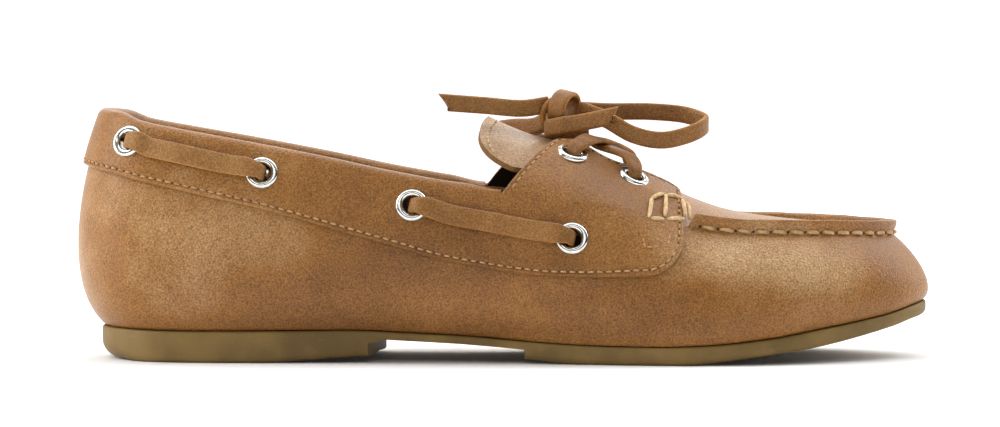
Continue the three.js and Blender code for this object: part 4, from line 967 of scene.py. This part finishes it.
# eyelets
eyeletSet = {"flange": 4.75, "hole": 2.6, "tube": 0.35, "dome": 1.0, "seat": 0.2, "turns": 40, "room": 0.12,
             "punch": 9, "lip": 0.02, "lipDeep": 0.2, "under": 0.05}
eyeletRows = [("band_1", 0.041, 0.892 * topH, True), ("band_2", 0.2, 0.767 * topH, True),
              ("band_3", 0.378, 0.927 * dipH, True), ("band_4", 0.567, 0.735 * dipH, True),
              ("flap_1", 0.565, 0.902 * instep, False), ("flap_2", 0.638, 0.803 * instep, False)]


def locate(x, z, outer):  # the places of the form that have these x and z, on the outer or inner side
    x, z, outer = np.broadcast_arrays(np.asarray(x, float), np.asarray(z, float), outer)

    def turned(share):
        return np.where(outer, angleOf(share), 2 * math.pi - angleOf(share))

    def isBehind(share):
        return formPoint(turned(share), heightAtZ(turned(share), z))[..., 0] < x

    angle = turned(bisect(np.full(x.shape, 0.0001), np.full(x.shape, 0.9), 22, isBehind)[0])
    height = heightAtZ(angle, z)
    onDome = (height > 1)[:, None]
    normal = np.where(onDome, formNormal(angle, height, "dome"), formNormal(angle, height, "wall"))
    return angle, height, normal, formPoint(angle, height) + normal * overlayOff(angle, height)[:, None]


eyelets = {}
for side in ("outer", "inner"):
    shares, heights = [row[1] for row in eyeletRows], [row[2] for row in eyeletRows]
    spots = locate(soleBack + soleLength * np.array(shares), heights, side == "outer")
    for (name, _, _, deep), angle, height, normal, point in zip(eyeletRows, *spots):
        eyelets[f"{name}_{side}"] = {"angle": float(angle), "height": float(height), "normal": normal,
                                     "point": point, "deep": deep}
print("eyelets are located")


def standMatrix(point, normal, sink=0.0):
    place = Vector((point - normal * sink + np.array(form["shift"])).tolist()) * mm
    return Matrix.Translation(place) @ Vector(normal.tolist()).to_track_quat("Z", "Y").to_matrix().to_4x4()


def applyPlace(piece, matrix):
    piece.data.transform(matrix)
    piece.matrix_world = Matrix.Identity(4)


def addEyelets(e):
    depth = {True: form["overlayWall"] + form["gap"] + form["upperWall"], False: form["overlayWall"]}
    masters = {}
    for deep in (True, False):
        middle, half = (e["hole"] + e["flange"]) / 2, (e["flange"] - e["hole"]) / 2
        section = [(e["hole"] + e["tube"], 0, -depth[deep]), (e["hole"], 0, -depth[deep]),
                   (e["hole"] + e["lip"], 0, -e["lipDeep"])]
        section += [(middle - half * math.cos(a), 0, e["dome"] * math.sin(a))
                    for a in np.linspace(0.12, math.pi - 0.05, 12)]
        section += [(e["flange"], 0, -e["under"]), (e["hole"] + e["tube"], 0, -e["under"])]
        bpy.ops.mesh.primitive_plane_add(size=0.001)
        ring = bpy.context.object
        bm = bmesh.new()
        verts = [bm.verts.new([v * mm for v in p]) for p in section]
        for pair in zip(verts, verts[1:] + verts[:1]):
            bm.edges.new(pair)
        bm.to_mesh(ring.data)
        bm.free()
        bpy.ops.object.mode_set(mode="EDIT")
        bpy.ops.mesh.select_all(action="SELECT")
        bpy.ops.mesh.spin(steps=e["turns"], angle=2 * math.pi, center=(0, 0, 0), axis=(0, 0, 1))
        bpy.ops.mesh.select_all(action="SELECT")
        bpy.ops.mesh.remove_doubles(threshold=0.00001)
        bpy.ops.mesh.normals_make_consistent(inside=False)
        bpy.ops.object.mode_set(mode="OBJECT")
        bpy.ops.object.shade_smooth_by_angle(angle=math.radians(40))
        ring.data.materials.append(metal)
        masters[deep] = ring
    for name, eyelet in eyelets.items():
        ring = masters[eyelet["deep"]].copy()
        ring.data = ring.data.copy()
        ring.name = "eyelet_" + name + "_ring"
        bpy.context.scene.collection.objects.link(ring)
        applyPlace(ring, standMatrix(eyelet["point"], eyelet["normal"], e["seat"]))
        dress(ring, "metal", "eyelet_" + name)
    for ring in masters.values():
        bpy.data.objects.remove(ring)


def punchEyelets(piece, deepOnly, e):
    bpy.ops.object.select_all(action="DESELECT")
    cutters = []
    for eyelet in eyelets.values():
        if deepOnly and not eyelet["deep"]:
            continue
        bpy.ops.mesh.primitive_cylinder_add(vertices=36, radius=(e["hole"] + e["tube"] + e["room"]) * mm,
                                            depth=e["punch"] * mm)
        cutters.append(bpy.context.object)
        applyPlace(cutters[-1], standMatrix(eyelet["point"], eyelet["normal"]))
    cutAway(piece, joinAll(cutters))


upperShell = addUpper(upperSet)
punchEyelets(upperShell, True, eyeletSet)
addSheenShadeAndTone(upperShell)
dress(upperShell, "upper_leather", "upper")
print("upper:", len(upperShell.data.polygons), "faces")
quarterBand = addOverlay(overlaySet)
punchEyelets(quarterBand, False, eyeletSet)
addSheenShadeAndTone(quarterBand, -0.02)
dress(quarterBand, "band_leather", "quarter_overlay")
print("overlay:", len(quarterBand.data.polygons), "faces")
addEyelets(eyeletSet)


# tongue
tongueSet = {"front": 0.74, "edge": 0.3, "taper": 0.05, "reach": 17.5, "flare": 6.6, "across": 44, "long": 60,
             "free": 26, "edgeRound": 0.35}


def tongueDepth(share):
    return mix(0.4, -(form["upperWall"] + form["gap"]), ease(0.56, 0.645, share)) - 0.6 * ease(0.68, 0.72, share)


def tongueGrid(t, thickness):
    spread = 1 - np.abs(2 * np.arange(t["across"] + 1) / t["across"] - 1)
    stations = [(s, 0) for s in np.linspace(t["front"], form["flapRear"], t["long"] + 1)]
    stations += [(form["flapRear"], k / t["free"]) for k in range(1, t["free"] + 1)]
    share, out = np.array(stations).T
    angle = np.where(np.arange(t["across"] + 1)[None, :] <= t["across"] / 2, angleOf(share)[:, None],
                     2 * math.pi - angleOf(share)[:, None])
    side = 1 + t["edge"] + t["taper"] * (1 - ease(form["flapRear"], 0.6, share))
    height = mix(side[:, None], 1.999, spread[None, :])
    off = np.broadcast_to(tongueDepth(share)[:, None], height.shape) - thickness
    points = offForm(angle, height, off, "dome")
    low, high = points[..., :1, 2], points[..., t["across"] // 2, None, 2]
    up = np.clip((points[..., 2] - low) / (high - low), 0, 1)
    points[..., 0] -= t["reach"] * out[:, None] * up * (1.35 - 0.35 * up)
    points[..., 2] += t["flare"] * out[:, None] ** 1.3 * spread[None, :] ** 1.6
    return points


def addTongue(t):
    outer, inner = tongueGrid(t, 0), tongueGrid(t, form["tongueWall"])
    return roundEdges(tidyMesh(sheetMesh("tonguePiece", outer, inner, skins("tongueLeather")), 50), t["edgeRound"])


tonguePiece = addTongue(tongueSet)
addSheenShadeAndTone(tonguePiece, 0.06)
dress(tonguePiece, "upper_leather", "tongue")
print("tongue is made")


# sole and insole
def closedMesh(name, columns, materials):
    count = len(columns)
    twin = columns[(count - np.arange(count)) % count]
    first, last = (columns[:, :1] + twin[:, :1]) / 2, (columns[:, -1:] + twin[:, -1:]) / 2
    columns = np.concatenate([first, columns, last], axis=1)
    rows = columns.shape[1]
    faces = [(i * rows + r, ((i + 1) % count) * rows + r, ((i + 1) % count) * rows + r + 1, i * rows + r + 1)
             for i in range(count) for r in range(rows - 1)]
    return tidyMesh(newObject(name, columns.reshape(-1, 3), faces, None, materials), 50)


soleSet = {"heelCorner": 6, "edgeCorner": 2, "topCorner": 0.8, "stations": 200, "breast": -40, "stepAt": 5.6,
           "skew": 4, "curve": 2.4, "waist": 2.3, "waistCorner": 2.2, "groove": 0.6, "treadEdge": 2.5,
           "cornerShare": 0.55, "waistWide": 0.75, "cutDown": 9, "edgeRound": 0.35}


def addOutsole(s):
    half = [math.pi * i / s["stations"] for i in range(s["stations"] + 1)]
    angles = roundTheShoe(half, half)
    share = shareOf(angles)
    corner = mix(s["heelCorner"], s["edgeCorner"], ease(0, 0.06, share))

    def spot(inset, level, lift):
        point = soleInset(angles, np.broadcast_to(inset, angles.shape))
        point[:, 2] = level(point[:, 0]) + lift
        return point

    rows = []
    for turn in np.linspace(0, math.pi / 2, 5):
        inset = s["topCorner"] * (1 - math.sin(turn))
        rows.append(spot(inset, soleTop, -s["topCorner"] * (1 - math.cos(turn))))
    edge = solePoint(angles)
    thickness = soleTop(edge[:, 0]) - soleFoot(edge[:, 0])
    tallCorner = np.minimum(corner, s["cornerShare"] * thickness)
    for k in (0.3, 0.6):
        point = spot(0.0, soleFoot, 0)
        point[:, 2] += mix(thickness - s["topCorner"], tallCorner, k)
        rows.append(point)
    for turn in np.linspace(0, math.pi / 2, 8):
        rows.append(spot(corner * (1 - math.cos(turn)), soleFoot, tallCorner * (1 - math.sin(turn))))
    index = np.minimum(np.arange(len(angles)), len(angles) - np.arange(len(angles)))
    groove = s["groove"] * (index % 2) * ease(0.04, 0.06, share) * (1 - ease(0.94, 0.96, share))
    narrow = np.minimum(s["treadEdge"], 0.3 * np.abs(through(soleHalf, halfTurn(angles))))
    rows.append(spot(corner + narrow, soleFoot, 0))
    rows.append(spot(corner + 1.3 * narrow, soleFoot, groove))
    sole = closedMesh("soleUnit", np.stack(rows, axis=1), (rubber,))
    across = np.linspace(-s["waistWide"], s["waistWide"], 25)
    along = np.array([0, 0.015, 0.04, 0.08, 0.12, 0.2, 0.35, 0.6, 0.85, 0.96, 1])
    start = s["breast"] + s["skew"] * (1 + 2 * across) / 2 + s["curve"] * (1 - 4 * across ** 2)
    x = mix(start[:, None], s["stepAt"], along[None, :])
    rounded = s["waistCorner"] * (1 - ease(0, 0.12, along)) * 0.6
    roof = stack(x, (across * form["heel"])[:, None], soleTop(x) - s["waist"] - rounded[None, :])
    below = roof.copy()
    below[..., 2] = -s["cutDown"]
    cutter = tidyMesh(sheetMesh("waistCutter", roof, below))
    cutAway(sole, cutter)
    return roundEdges(sole, s["edgeRound"], 55)


def addInsole():
    angles = bothSides()
    off = -(form["upperWall"] + form["gap"])

    def edge(lift, inset):
        z = feather(angles)[:, 2] + lift
        low = bisect(np.zeros(len(angles)), np.full(len(angles), 0.4), 20,
                     lambda middle: offForm(angles, middle, off, "wall")[:, 2] < z)[0]
        point = offForm(angles, low, off - form["gap"] - inset, "wall")
        point[:, 2] = soleTop(point[:, 0]) + form["gap"] + lift
        return point

    thick = form["insole"]
    rows = [edge(lift, inset) for lift, inset in ((thick, 9), (thick, 2.4), (thick, 0.6), (thick - 0.2, 0.2),
                                                  (thick - 0.6, 0), (0.4, 0), (0, 0.4))]
    return closedMesh("footbed", np.stack(rows, axis=1), (leathers["footbedLeather"],))


soleUnit = addOutsole(soleSet)
dress(soleUnit, "rubber", "outsole")
footbed = addInsole()
addSheenShadeAndTone(footbed)
dress(footbed, "insole_leather", "insole")
print("sole and footbed are made")

# laces: flat straps with rounded edges, each station a place and the direction of the width
laceSet = {"width": 5.0, "thick": 1.6, "holeDeep": 2.6, "clear": 0.3, "holeWidth": 4.3, "sideWidth": 5.9, "bow": 0.5}


def smoothRoute(places, wides, count):
    places, wides = np.asarray(places, float), np.asarray(wides, float)
    n = len(places)
    gaps = np.linalg.norm(np.diff(places, axis=0), axis=1) ** 0.5
    knots = np.concatenate([[0], np.cumsum(gaps)])
    slopes = np.zeros_like(places)
    for k in range(n):
        before, after = max(0, k - 1), min(n - 1, k + 1)
        slopes[k] = (places[after] - places[before]) / (knots[after] - knots[before])
        if 0 < k < n - 1:
            first = (places[k] - places[k - 1]) / (knots[k] - knots[k - 1])
            last = (places[k + 1] - places[k]) / (knots[k + 1] - knots[k])
            slopes[k] = first + last - slopes[k]
    t = np.linspace(0, knots[-1], count)
    i = np.clip(np.searchsorted(knots, t, side="right") - 1, 0, n - 2)
    width = (knots[i + 1] - knots[i])[:, None]
    s = (t - knots[i])[:, None] / width
    points = cubic(places[i], places[i + 1], slopes[i], slopes[i + 1], width, s)
    return points, unit(mix(wides[i], wides[i + 1], ease(0, 1, s)))


def strapPiece(name, points, wides, width, thick, cutEnd=0.0):
    along = unit(np.gradient(points, axis=0))
    wides = unit(wides - along * np.sum(wides * along, axis=1, keepdims=True))
    thicks = np.cross(along, wides)
    half, deep = np.broadcast_to(np.asarray(width, float) / 2, len(points)), thick / 2
    section = [(-1, 0), (-0.95, -0.62), (-0.8, -1), (-0.5, -1.03), (0, -1.06), (0.5, -1.03), (0.8, -1), (0.95, -0.62),
               (1, 0), (0.95, 0.62), (0.8, 1), (0.5, 1.03), (0, 1.06), (-0.5, 1.03), (-0.8, 1), (-0.95, 0.62)]
    rings = []
    for w, d in section:
        slide = np.zeros(len(points))
        slide[-1] = cutEnd * w / 2
        rings.append(points + wides * (w * half)[:, None] + thicks * (d * deep) + along * slide[:, None])
    rings = np.stack(rings, axis=1)
    count, size = rings.shape[:2]
    faces, slots = [], []
    for k in range(count - 1):
        for j in range(size):
            n = (j + 1) % size
            faces.append((k * size + j, k * size + n, (k + 1) * size + n, (k + 1) * size + j))
            slots.append(1 if j in (0, 7, 8, 15) else 0)
    faces += [tuple(range(size))[::-1], tuple((count - 1) * size + j for j in range(size))]
    slots += [1, 1]
    piece = newObject(name, rings.reshape(-1, 3), faces, slots, (leathers["laceLeather"], leathers["laceEdge"]))
    return tidyMesh(piece, 45)


# bow: the same routes as the part's, in millimetres
bowSet = {
    "laceEndRear": {"node": "lace_end_rear", "far": "bare", "cutEnd": 4.6, "route": [
        (12.6, 0.6, 74), (5, -3.5, 73), (-6, -6.5, 73.9), (-17.4, -9.4, 74.8)]},
    "laceLoopFront": {"node": "lace_loop_front", "far": "knot", "route": [
        (21.4, 2.2, 72.4), (31, 5.5, 71.9), (43, 8, 71.8), (53.5, 6.5, 70.8), (59, 0.5, 68.6), (57.2, -4.2, 66.9),
        (52.4, -7.2, 65), (45.5, -8.6, 63.8), (37.5, -7.4, 65.4), (29.5, -4.6, 69.8), (22.4, -1.4, 72.6)]},
    "laceLoopRear": {"node": "lace_loop_rear", "far": "knot", "route": [
        (14.2, 4.9, 70.8), (9, 10.2, 67.6), (2, 16, 67), (-3.5, 21.5, 65.8), (-2, 26, 64.6), (4.5, 24, 65),
        (11, 15.5, 67.6), (16.3, 6.4, 69.6)]},
    "laceEndFront": {"node": "lace_end_front", "far": "bare", "cutEnd": 4.4, "route": [
        (24.5, 3.4, 66.8), (18.5, 2.2, 66.4), (13.4, -0.6, 66.6), (12.4, -4.2, 67.2), (16, -6.8, 68), (22, -8, 68.9),
        (27.5, -8.8, 70), (31.6, -9.4, 70.9)]},
}


def addBow():
    pieces = {}
    for name, bow in bowSet.items():
        spans = len(bow["route"]) - 1
        points, turned = smoothRoute(bow["route"], [(0, 0, 1)] * (spans + 1), 12 * spans + 1)
        piece = strapPiece(name, points, turned, laceSet["width"], laceSet["thick"], bow.get("cutEnd", 0))
        addSheenShadeAndTone(piece)
        pieces[name] = (piece, points)
    return pieces


# knot: a strap wrapped once round the crossed strands, and the strand that comes up beside it
knotSet = {"centre": (17.4, 0.4, 73.1), "radii": (4.8, 4.4), "lean": 12, "turn": 28, "wrapTurns": 40,
           "wrapWidth": 5.6, "strandWidth": 4.6, "thick": 1.5, "strandWide": (0.1, 1, 0),
           "strand": [(17.4, 2.2, 66.2), (13.8, 0.8, 66.6), (11.4, -0.4, 68.6), (11.2, -0.7, 71.6),
                      (12.8, -0.4, 74.6), (15.6, 0.2, 76), (18.8, 0.8, 75.4)]}


def addKnot(k):
    centre, lean = np.array(k["centre"]), math.radians(k["lean"])
    turns = np.linspace(0, 2 * math.pi, k["wrapTurns"], endpoint=False)
    turn = math.radians(k["turn"])
    side = np.array([math.sin(turn), math.cos(turn), 0])
    axis = np.array([math.cos(turn) * math.cos(lean), -math.sin(turn) * math.cos(lean), -math.sin(lean)])
    up = np.array([math.sin(lean), 0, math.cos(lean)])
    ring = centre + side * (np.cos(turns) * k["radii"][0])[:, None] + up * (np.sin(turns) * k["radii"][1])[:, None]
    ring = np.concatenate([ring, ring[:3] * 0.999 + centre * 0.001])
    wrap = strapPiece("knotWrap", ring, np.tile(axis, (len(ring), 1)), k["wrapWidth"], k["thick"])
    rise, wides = smoothRoute(k["strand"], [k["strandWide"]] * len(k["strand"]), 60)
    wrap = joinAll([wrap, strapPiece("knotStrand", rise, wides, k["strandWidth"], k["thick"])])
    wrap.name = "laceKnot"
    addSheenShadeAndTone(wrap)
    return wrap


bowPieces = addBow()
laceKnot = addKnot(knotSet)
for name, (piece, points) in bowPieces.items():
    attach(piece, "root")
    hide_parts(bowSet[name]["node"])
    path = [tuple(float(v) for v in (p + np.array(form["shift"])) * mm) for p in points[::4]]
    others = (laceKnot,) if name == "laceEndRear" else ()
dress(laceKnot, "lace_leather", "lace_knot")
print("bow is tied")


# side laces and the crossed strands between the flaps
def leaveEyelet(eyelet, towards, rows):  # rows of distance along the lace and height over the eyelet
    normal = eyelet["normal"]
    level = unit(towards - normal * float(towards @ normal))
    return [eyelet["point"] + level * along + normal * up for along, up in rows], unit(np.cross(level, normal))


def laceBetween(name, start, end, rows, between, width, count, widening):
    towards = unit(end["point"] - start["point"])
    places, wide = leaveEyelet(start, towards, rows)
    endPlaces, endWide = leaveEyelet(end, -towards, rows)
    places += [place for place, _ in between] + endPlaces[::-1]
    wides = [wide] * len(rows) + [unit(np.cross(towards, up)) for _, up in between] + [-endWide] * len(rows)
    points, turned = smoothRoute(places, wides, count)
    far = np.minimum(*(np.linalg.norm(points - eyelet["point"], axis=1) for eyelet in (start, end)))
    widths = mix(laceSet["holeWidth"], width, ease(*widening, far))
    return strapPiece(name, points, turned, widths, laceSet["thick"])


def addSideLace(name, start, end):
    over = eyeletSet["dome"] + laceSet["clear"] + laceSet["thick"] / 2 - eyeletSet["seat"]
    rows = [(0.0, -laceSet["holeDeep"]), (-0.1, -0.4), (0.35, 0.75),
            (eyeletSet["hole"] - laceSet["thick"] + 0.6, over + 0.15), (eyeletSet["flange"] - 0.2, over + 0.4)]
    between = []
    for share in (0.22, 0.36, 0.5, 0.64, 0.78):
        angle, height = mix(start["angle"], end["angle"], share), mix(start["height"], end["height"], share)
        normal = formNormal(angle, height, "dome" if height > 1 else "wall")
        lift = laceSet["clear"] + laceSet["thick"] / 2 + laceSet["bow"] * math.sin(math.pi * share)
        between.append((formPoint(angle, height) + normal * (float(overlayOff(angle, height)) + lift), normal))
    strap = laceBetween(name + "Strap", start, end, rows, between, laceSet["sideWidth"], 110, (1.5, 5.5))
    addSheenShadeAndTone(strap, 0.12)
    return strap


for side in ("outer", "inner"):
    for row, first, second in (("rear", "band_1", "band_2"), ("front", "band_3", "band_4")):
        strap = addSideLace(f"side_{row}_{side}", eyelets[f"{first}_{side}"], eyelets[f"{second}_{side}"])
        dress(strap, "lace_leather", f"side_lace_{row}_{side}")

crossingSet = {"rise": 3.4, "lift": 0.9 * laceSet["thick"],
               "rows": [(0, -1.6), (0, 0.4), (1.0, 1.7), (2.6, 2.4)], "last": (6, 2.6)}


def addStrand(name, start, end, lift):
    along, up = crossingSet["last"]
    middle = (start["point"] + end["point"]) / 2
    middle[2] = through(crownLine, middle[0]) + crossingSet["rise"] + lift
    return laceBetween(name, start, end, crossingSet["rows"] + [(along, up + lift / 3)],
                       [(middle, np.array([0, 0, 1.0]))], laceSet["width"], 90, (1.2, 4))


underStrand = addStrand("strandUnder", eyelets["flap_2_outer"], eyelets["flap_1_inner"], 0)
overStrand = addStrand("strandOver", eyelets["flap_2_inner"], eyelets["flap_1_outer"], crossingSet["lift"])
for strand in (underStrand, overStrand):
    addSheenShadeAndTone(strand, -0.05)
dress(underStrand, "lace_leather", "lace_crossing")
dress(overStrand, "lace_leather")
print("laces are threaded")


# stitches: one is modelled and copied along each row; with no pitch and no length it spans the whole row
# pitch, length, thickness, arch, how deep it is sunk, lean, start as a share of the pitch, thread, slot
stitchKinds = {
    "machine": (2.6, 1.7, 0.56, 0.5, 0.0, 0.0, 0.5, "machineThread", "band_leather"),
    # small dark blobs between the machine stitches: painted shade in the needle holes
    "machineHoleShade": (2.6, 0.42, 0.42, 0.2, 0.02, 0.0, 0.0, "needleHoleShade", "band_leather"),
    "hand": (upperSet["stitchPitch"], 4.0, 1.2, 0.55, 0.15, -0.1, 0.5, "handThread", "upper_leather"),
    # small dark blobs between the hand stitches: painted shade in the needle holes
    "handHoleShade": (upperSet["stitchPitch"], 0.85, 0.85, 0.3, 0.45, 0.0, 0.0, "needleHoleShade", "upper_leather"),
    "box": (None, None, 1.3, 0.4, -0.3, 0.0, 0.5, "boxThread", "band_leather"),
    "upright": (None, None, 1.3, 0.4, 0.6, 0.0, 0.5, "boxThread", "band_leather"),
    "tonal": (1.9, 1.4, 0.5, 0.4, 0.0, 0.0, 0.5, "machineThread", "band_leather"),
    "tongue": (2.3, 1.6, 0.5, 0.5, -0.15, 0.0, 0.5, "boxThread", "upper_leather"),
}
pastEnds = 0.9


def makeStitch(length, thick, arch):
    bpy.ops.object.select_all(action="DESELECT")
    bpy.ops.mesh.primitive_uv_sphere_add(segments=7, ring_count=7, radius=0.5 * mm)
    stitch = bpy.context.object
    bpy.ops.object.mode_set(mode="EDIT")
    bpy.ops.mesh.select_all(action="SELECT")
    bpy.ops.transform.rotate(value=math.pi / 2, orient_axis="Y", center_override=(0, 0, 0))
    bpy.ops.transform.resize(value=(length, thick, thick), center_override=(0, 0, 0))
    bpy.ops.object.mode_set(mode="OBJECT")
    points = np.array([v.co for v in stitch.data.vertices]) / mm
    reach = points[:, 0] / (length / 2)
    full = np.sqrt(np.clip(1 - reach ** 6, 0.02, 1)) / np.sqrt(np.clip(1 - reach ** 2, 0.02, 1))
    points[:, 1] *= np.clip(full, 1, 1.7)
    points[:, 2] = points[:, 2] * np.clip(full, 1, 1.7) - arch * reach ** 2 * thick
    faces = [tuple(p.vertices) for p in stitch.data.polygons]
    bpy.data.objects.remove(stitch)
    return points, faces


def sewRow(name, path, normals, kind):
    pitch, length, thick, arch, sink, lean, start, thread, slot = stitchKinds[kind]
    travel = travelAlong(path)

    def between(rows, at):
        return np.array([np.interp(at, travel, rows[:, j]) for j in range(3)])

    count = max(1, round(travel[-1] / pitch)) if pitch else 1
    shape, faces = makeStitch(length or float(np.linalg.norm(path[-1] - path[0])) + pastEnds, thick, arch)
    points, allFaces = [], []
    for k in range(count):
        at = (k + start) * travel[-1] / count
        place, normal = between(path, at), unit(between(normals, at))
        ahead = between(path, at + 0.3) - between(path, at - 0.3)
        along = unit(ahead - normal * float(ahead @ normal))
        across = np.cross(normal, along)
        wobble = math.sin(k * 2.399) * 0.05 + lean
        along, across = (along * math.cos(wobble) + across * math.sin(wobble),
                         across * math.cos(wobble) - along * math.sin(wobble))
        base = len(points) * len(shape)
        scale = 1 + 0.06 * math.sin(k * 1.7)
        points.append(place + normal * (thick * 0.22 - sink) + along * shape[:, :1] * scale + across * shape[:, 1:2]
                      + normal * shape[:, 2:3])
        allFaces += [tuple(v + base for v in face) for face in faces]
    piece = newObject(name, np.concatenate(points), allFaces, None, (threads[thread],))
    bpy.ops.object.shade_smooth()
    return dress(piece, slot)


def bandSeam(side):
    steps = np.linspace(0.002, stationAt(form["flapFront"] - 1.5 / soleLength), 500)
    angles = sided(steps, side)
    share = shareOf(angles)
    ahead = (form["flapFront"] - share) * soleLength
    inset = overlaySet["seamIn"]
    z = through(bandLine, share) + cornerDrop(np.maximum(ahead - inset, 0), form["flapCorner"] - inset) + inset
    return angles, heightAtZ(angles, z, 1)


def uprightSeam(side, share, low, short, count):
    angle = sided(stationAt(share), side)
    high = float(flapEdge(np.array([angle]))[0])
    return np.full(count, angle), np.linspace(low, high - short, count)


def frontSeam(side):
    share = form["flapFront"] - overlaySet["seamIn"] / soleLength
    low = float(heightAtZ(sided(stationAt(share), side), through(bandLine, share) + form["flapCorner"], 1))
    return uprightSeam(side, share, low, 0.045, 160)


def rearSeam(side):
    share = float(shareOf(rearAngles[side])) + overlaySet["seamIn"] * 1.3 / soleLength
    return uprightSeam(side, share, 1.04, 0.05, 120)


def topSeam(side):
    shares = np.linspace(float(shareOf(rearAngles[side])) + 0.008, form["flapFront"] - 0.008, 120)
    angles = sided(angleOf(shares), side)
    edge = flapEdge(angles)
    return angles, edge - (edge - 1) * overlaySet["seamIn"] * 1.1 / flapSpan(angles, edge)


def onOverlay(angles, heights):
    wall = (heights <= 1)[:, None]
    off = overlayOff(angles, heights) - overlaySet["seamSink"]
    low, high = np.minimum(heights, 1), np.maximum(heights, 1)
    leaned = np.where(wall[:, 0], angles, leanAngle(angles, heights))
    points = np.where(wall, offForm(angles, low, off, "wall"), offForm(leaned, high, off, "dome"))
    normals = np.where(wall, formNormal(angles, low, "wall"), formNormal(leaned, high, "dome"))
    return points + normals * np.where(wall, creaseDepth(points)[:, None], 0), normals


for side in ("outer", "inner"):
    for name, seam in (("band", bandSeam), ("front", frontSeam), ("rear", rearSeam), ("top", topSeam)):
        points, normals = onOverlay(*seam(side))
        sewRow(f"stitches_{name}_{side}", points, normals, "machine")
        # painted shade in the needle holes of each row
        sewRow(f"holeShades_{name}_{side}", points, normals, "machineHoleShade")
print("machine stitches are sewn")


def addHandStitches():
    start = stationAt(ridgeStart + ridgeRun) + 0.01
    angles = np.linspace(start, 2 * math.pi - start, 1500)
    out = soleNormal(angles)
    raised = ease(ridgeStart, ridgeStart + ridgeRun, shareOf(angles))
    points = shoulder(angles)
    points[:, 2] += form["ridgeHeight"] * 0.2 * raised
    normals = unit(out + np.array([0, 0, 0.25]))
    points += out * 0.18
    sewRow("handStitches", points, normals, "hand")
    # painted shade in the needle holes of the toe seam
    sewRow("handHoleShades", points, normals, "handHoleShade")


addHandStitches()
print("toe seam is sewn by hand")

# two boxes of thick thread, the upright stitch and the tonal box: kind of stitch, span of x and z that holds them,
# and x and z of the ends of each line as seen from the outer side
tacks = {
    "box_0": ("box", (41, 51, 41.4, 48), [((41.2, 41.9), (42.2, 47.1)), ((42.6, 47.5), (45.6, 48.3)),
                                          ((46.4, 47.9), (45.9, 42.1)), ((45.4, 41.5), (41.8, 41.7))]),
    "box_1": ("box", (41, 51, 41.4, 48), [((47.2, 48.0), (51.0, 46.9)), ((51.3, 46.5), (52.0, 42.2)),
                                          ((51.5, 41.4), (46.8, 41.5))]),
    "boxUpright": ("upright", (41, 51, 41.4, 48), [((53.6, 42.0), (53.2, 46.2))]),
    "tonal": ("tonal", (39, 48, 33.5, 38), [((39.4, 36.6), (40.0, 33.9)), ((40.2, 33.9), (46.6, 34.4)),
                                            ((46.7, 34.6), (47.3, 37.4))]),
}


# the surface over a span of x and z, as a smooth sheet fitted to nine of its places
def surfaceAt(lowX, highX, lowZ, highZ, side):
    grid = np.array([(x, z) for x in np.linspace(lowX, highX, 3) for z in np.linspace(lowZ, highZ, 3)])
    found = locate(grid[:, 0], grid[:, 1], side == "outer")[3]
    terms = np.array([(1, x, z, x * z, x * x, z * z) for x, _, z in found])
    depth = np.linalg.lstsq(terms, found[:, 1], rcond=None)[0]

    def place(x, z):
        x, z = np.asarray(x, float), np.asarray(z, float)
        y = depth @ np.array([1 + 0 * x, x, z, x * z, x * x, z * z])
        slopeX = depth[1] + depth[3] * z + 2 * depth[4] * x
        slopeZ = depth[2] + depth[3] * x + 2 * depth[5] * z
        sign = -1 if side == "outer" else 1
        normal = unit(np.stack([-sign * slopeX, sign + 0 * x, -sign * slopeZ], axis=-1))
        return stack(x, y, z), normal

    return place


def addTacks():
    t = np.linspace(0, 1, 12)
    for side in ("outer", "inner"):
        for name, (kind, span, lines) in tacks.items():
            place = surfaceAt(*span, side)
            for k, (first, second) in enumerate(lines):
                label = name if len(lines) == 1 else f"{name}_{k}"
                points, normals = place(mix(first[0], second[0], t), mix(first[1], second[1], t))
                sewRow(f"{label}_{side}", points, normals, kind)


addTacks()
print("thread boxes are sewn")

tongueRow = {"in": 5, "from": 6, "over": 0.02}


def addTongueRow(r):
    grid = tongueGrid(tongueSet, -r["over"])
    row = slice(r["from"], -r["from"])
    path = grid[-r["in"], row]
    along = np.gradient(grid[-r["in"]], axis=0)[row]
    back = (grid[-r["in"] - 2] - grid[-r["in"]])[row]
    normals = unit(np.cross(back, along))
    normals *= np.sign(normals[:, 2:3])
    sewRow("stitches_tongue", path, normals, "tongue")


addTongueRow(tongueRow)
